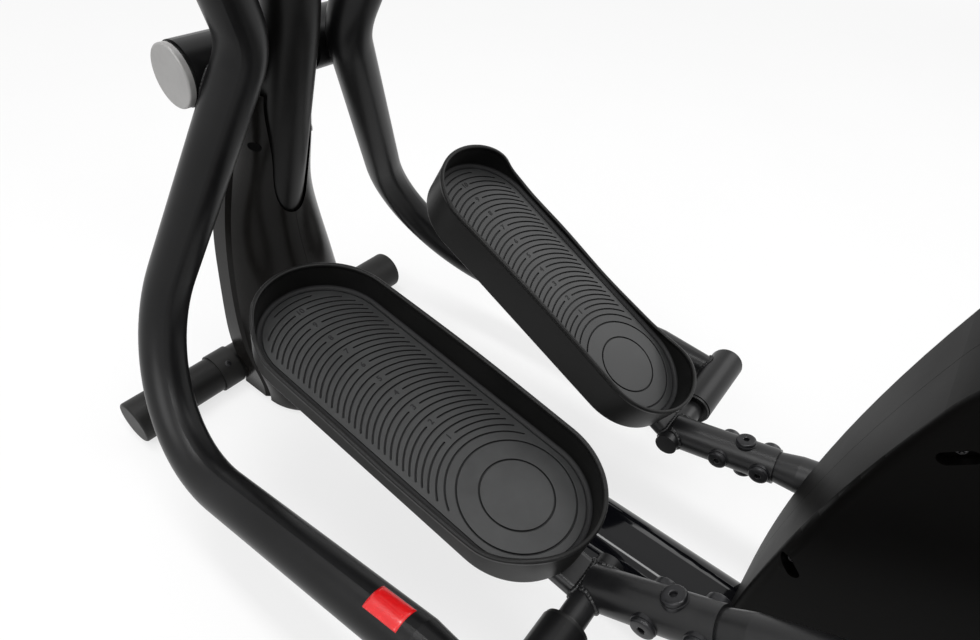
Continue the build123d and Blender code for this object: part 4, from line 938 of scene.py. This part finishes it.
# Handlebars: the fixed one is a bent tube in the arms' coat, held in a moulded clamp, with bright contact
# plates. The moving ones end in long closed-cell foam sleeves, pulled on and slightly swollen at both ends.
dress(arm_coat, "fixed_handlebar")
dress(cap_plastic, "handlebar_clamp")
contact_chrome = finish("contact_chrome", (0.42, 0.42, 0.43), (0.52, 0.52, 0.53), (0.12, 0.2), cloud=30.0,
                        Metallic=1.0)
dress(contact_chrome, "pulse_grips")
grip_foam = finish("grip_foam", (0.010, 0.010, 0.010), (0.02, 0.02, 0.02), (0.78, 0.92), cloud=40.0,
                   grain=1300.0, bump=0.7, depth=0.0004, Specular_IOR_Level=0.2)
handle_tip, handle_elbow = (-152, 246, 940), (-192, 246, 630)
grip_length = 260.0
foam_over = 5
foam_radius = 21.6
foam_steps = 24
foam_length = (grip_length + foam_over) * mm
foam_profile = [(0, 0.4 * mm), (17.3 * mm, 0.4 * mm), (20.4 * mm, 0.2 * mm), (21.8 * mm, 2.2 * mm)]
for step in range(1, foam_steps):
    part = step / foam_steps
    swell = 0.35 * math.cos(2 * math.pi * part) - 0.12 * math.cos(14 * math.pi * part)
    foam_profile.append(((foam_radius + swell) * mm, 2.2 * mm + part * (foam_length - 8 * mm)))
foam_profile += [(20.8 * mm, foam_length - 3.2 * mm), (18.0 * mm, foam_length - 1.0 * mm),
                 (12.0 * mm, foam_length - 0.3 * mm), (0, foam_length - 0.2 * mm)]
for name in sides:
    dress(grip_foam, name + "_handle_grip")
    handle_top = on_arm(name, *handle_tip)
    foam_way = (handle_top - on_arm(name, *handle_elbow)).normalized()
    foam_foot = handle_top - foam_way * grip_length * mm
    sleeve = lathe(name + "_foam_grip", foam_profile, 48)
    sleeve.transform(Matrix.Translation(foam_foot) @ foam_way.to_track_quat("Z", "X").to_matrix().to_4x4())
    foam_grip = piece(name + "_foam_grip", sleeve, grip_foam)
    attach(foam_grip, name + "_arm")
    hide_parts(name + "_handle_grip")

# Handle bolts: black steel bolts with hexagon sockets, two through the open top of each arm.
# They lock the plug of the moving handlebar, with a head on either side.
arm_mouth, arm_below_mouth = (-72.4, 96, 140), (-52.9, 57.5, 32)
lock_drops = (16, 44)
for name, side in sides.items():
    arm_top = on_arm(name, *arm_mouth)
    up_way = (arm_top - on_arm(name, *arm_below_mouth)).normalized()
    out_way = Vector((0, side, 0)) - up_way * up_way.dot(Vector((0, side, 0)))
    out_way.normalize()
    lock_spots = []
    for drop in lock_drops:
        for hand in (1, -1):
            lock_spots.append((arm_top - up_way * drop * mm + out_way * hand * arm_radius, out_way * hand))
    fasten(name + "_lock_bolts", bolt_head(7.5 * mm, 4.0 * mm, 2.6 * mm), lock_spots, name + "_arm",
           "satin_black", bolt_black)

# Tension knob: a fluted moulded knob on a round plate behind the mast, turned by hand.
# A pale line printed on its face points at the setting.
rider_right = Vector((0, -1, 0))
pointer_line = [(-1.2, 9), (1.2, 9), (1.2, 20), (-1.2, 20)]


def outer_face(name, facing):
    """Middle and normal of a CAD node's outermost flat face that looks most nearly one way."""
    shares = {}
    mesh = nodes[name].data
    for polygon in mesh.polygons:
        if polygon.normal.dot(facing) > 0.5:
            key = tuple(round(part, 2) for part in polygon.normal)
            shares[key] = shares.get(key, 0.0) + polygon.area
    normal = Vector(max(shares, key=shares.get)).normalized()
    reach = max(v.co.dot(normal) for v in mesh.vertices)
    flat = [p for p in mesh.polygons
            if p.normal.dot(normal) > 0.999 and abs(p.center.dot(normal) - reach) < 0.2 * mm]
    area = sum(p.area for p in flat)
    return sum((p.center * p.area for p in flat), Vector()) / area, normal


def plate(name, outline, place, normal, reading, lift, thickness):
    """Flat prism from an outline in mm, laid on a face: +X is the reading way and +Y is up the face."""
    up = normal.cross(reading).normalized()
    shape = bmesh.new()
    rows = []
    for height in (lift - thickness, lift):
        corners = [place + (reading * x + up * y + normal * height) * mm for x, y in outline]
        rows.append([shape.verts.new(corner) for corner in corners])
    join_rows(shape, rows)
    shape.faces.new(rows[1])
    shape.faces.new(rows[0])
    return settle(shape, name)


dress(cap_plastic, "knob_plate", "tension_knob")
pale_print = finish("pale_print", (0.6, 0.6, 0.58), (0.7, 0.7, 0.68), (0.4, 0.5), cloud=90.0)
knob_middle, knob_normal = outer_face("tension_knob", Vector((-1, 0, 0)))
pointer_mesh = plate("knob_pointer", pointer_line, knob_middle, knob_normal, rider_right, 0.25, 0.6)
knob_pointer = piece("knob_pointer", pointer_mesh, pale_print)
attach(knob_pointer, "knob")

# Console: a moulded case on a folded bracket, with a liquid-crystal window in a silver frame.
# Three soft buttons with plain marks stand below the window, and four screws close the case from behind.
case_plastic = finish("case_plastic", (0.010, 0.010, 0.0105), (0.017, 0.017, 0.0175), (0.38, 0.5), cloud=12.0,
                      grain=2600.0, bump=0.25, depth=0.0001, Specular_IOR_Level=0.3)
dress(case_plastic, "console_housing", "console_bracket")
display = finish("display_window", (0.20, 0.235, 0.19), (0.24, 0.275, 0.225), (0.3, 0.38), cloud=14.0,
                 Specular_IOR_Level=0.3)
dress(display, "console_screen")
button_rubber = finish("button_rubber", (0.06, 0.06, 0.063), (0.085, 0.085, 0.09), (0.5, 0.6), cloud=60.0)
screen_middle, screen_normal = outer_face("console_screen", Vector((-0.7, 0, 0.7)))
screen_up = screen_normal.cross(rider_right).normalized()
screen_turn = Matrix((rider_right, screen_up, screen_normal)).transposed().to_4x4()


def on_screen(x, y, lift=0.0):
    """Point over the display's middle, in mm."""
    return screen_middle + (rider_right * x + screen_up * y + screen_normal * lift) * mm


lcd_ink = finish("display_figures", (0.008, 0.01, 0.009), (0.014, 0.016, 0.014), (0.3, 0.4), cloud=90.0)
readings = (("12:30", -28, 12, 26), ("86", 44, 12, 26), ("3.42", -36, -20, 18), ("128", 36, -20, 18))
shape = bmesh.new()
for words, x, y, height in readings:
    add_figures(shape, words, height * mm, 0.3 * mm, on_screen(x, y), screen_turn)
display_figures = piece("display_figures", settle(shape, "display_figures", merge=0.001 * mm), lcd_ink)
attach(display_figures, "frame")
window_x, window_y, window_corner = 66, 33, 4
frame_profile = ((0.5, -1.0), (0.5, 1.3), (1.2, 1.9), (5.0, 1.9), (6.0, 1.3), (6.0, -1.0))
shape = bmesh.new()
rows = []
for grow, lift in frame_profile:
    row = []
    for corner_x, corner_y, start in ((1, -1, -90), (1, 1, 0), (-1, 1, 90), (-1, -1, 180)):
        for step in range(7):
            angle = math.radians(start + 15 * step)
            x = corner_x * window_x + (window_corner + grow) * math.cos(angle)
            y = corner_y * window_y + (window_corner + grow) * math.sin(angle)
            row.append(shape.verts.new(on_screen(x, y, lift)))
    rows.append(row)
join_rows(shape, rows + rows[:1])
display_frame = piece("display_frame", settle(shape, "display_frame"), silver_plastic)
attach(display_frame, "frame")
marks = {
    1: [(0, 4.4), (-4, -2.6), (4, -2.6)],
    2: [(4 * math.cos(math.radians(15 * k)), 4 * math.sin(math.radians(15 * k))) for k in range(24)],
    3: [(0, -4.4), (4, 2.6), (-4, 2.6)],
}
for number, outline in marks.items():
    button = f"console_button_{number}"
    dress(button_rubber, button)
    button_middle, button_normal = outer_face(button, screen_normal)
    mark_name = f"button_mark_{number}"
    mark_mesh = plate(mark_name, outline, button_middle, button_normal, rider_right, 0.3, 0.6)
    mark = piece(mark_name, mark_mesh, pale_print)
    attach(mark, f"button_{number}")
case_skin = skin("console_housing")
case_screw_x, case_screw_y = (-105, 105), (-84, 40)
case_spots = []
for x in case_screw_x:
    for y in case_screw_y:
        back = case_skin.ray_cast(on_screen(x, y) - screen_normal * beyond, screen_normal)
        if back[0] is not None:
            case_spots.append((back[0], -screen_normal))
fasten("case_screws", cross_head(3.4 * mm, 1.6 * mm), case_spots, "frame", "steel", black_screw, painted_recess_shade)
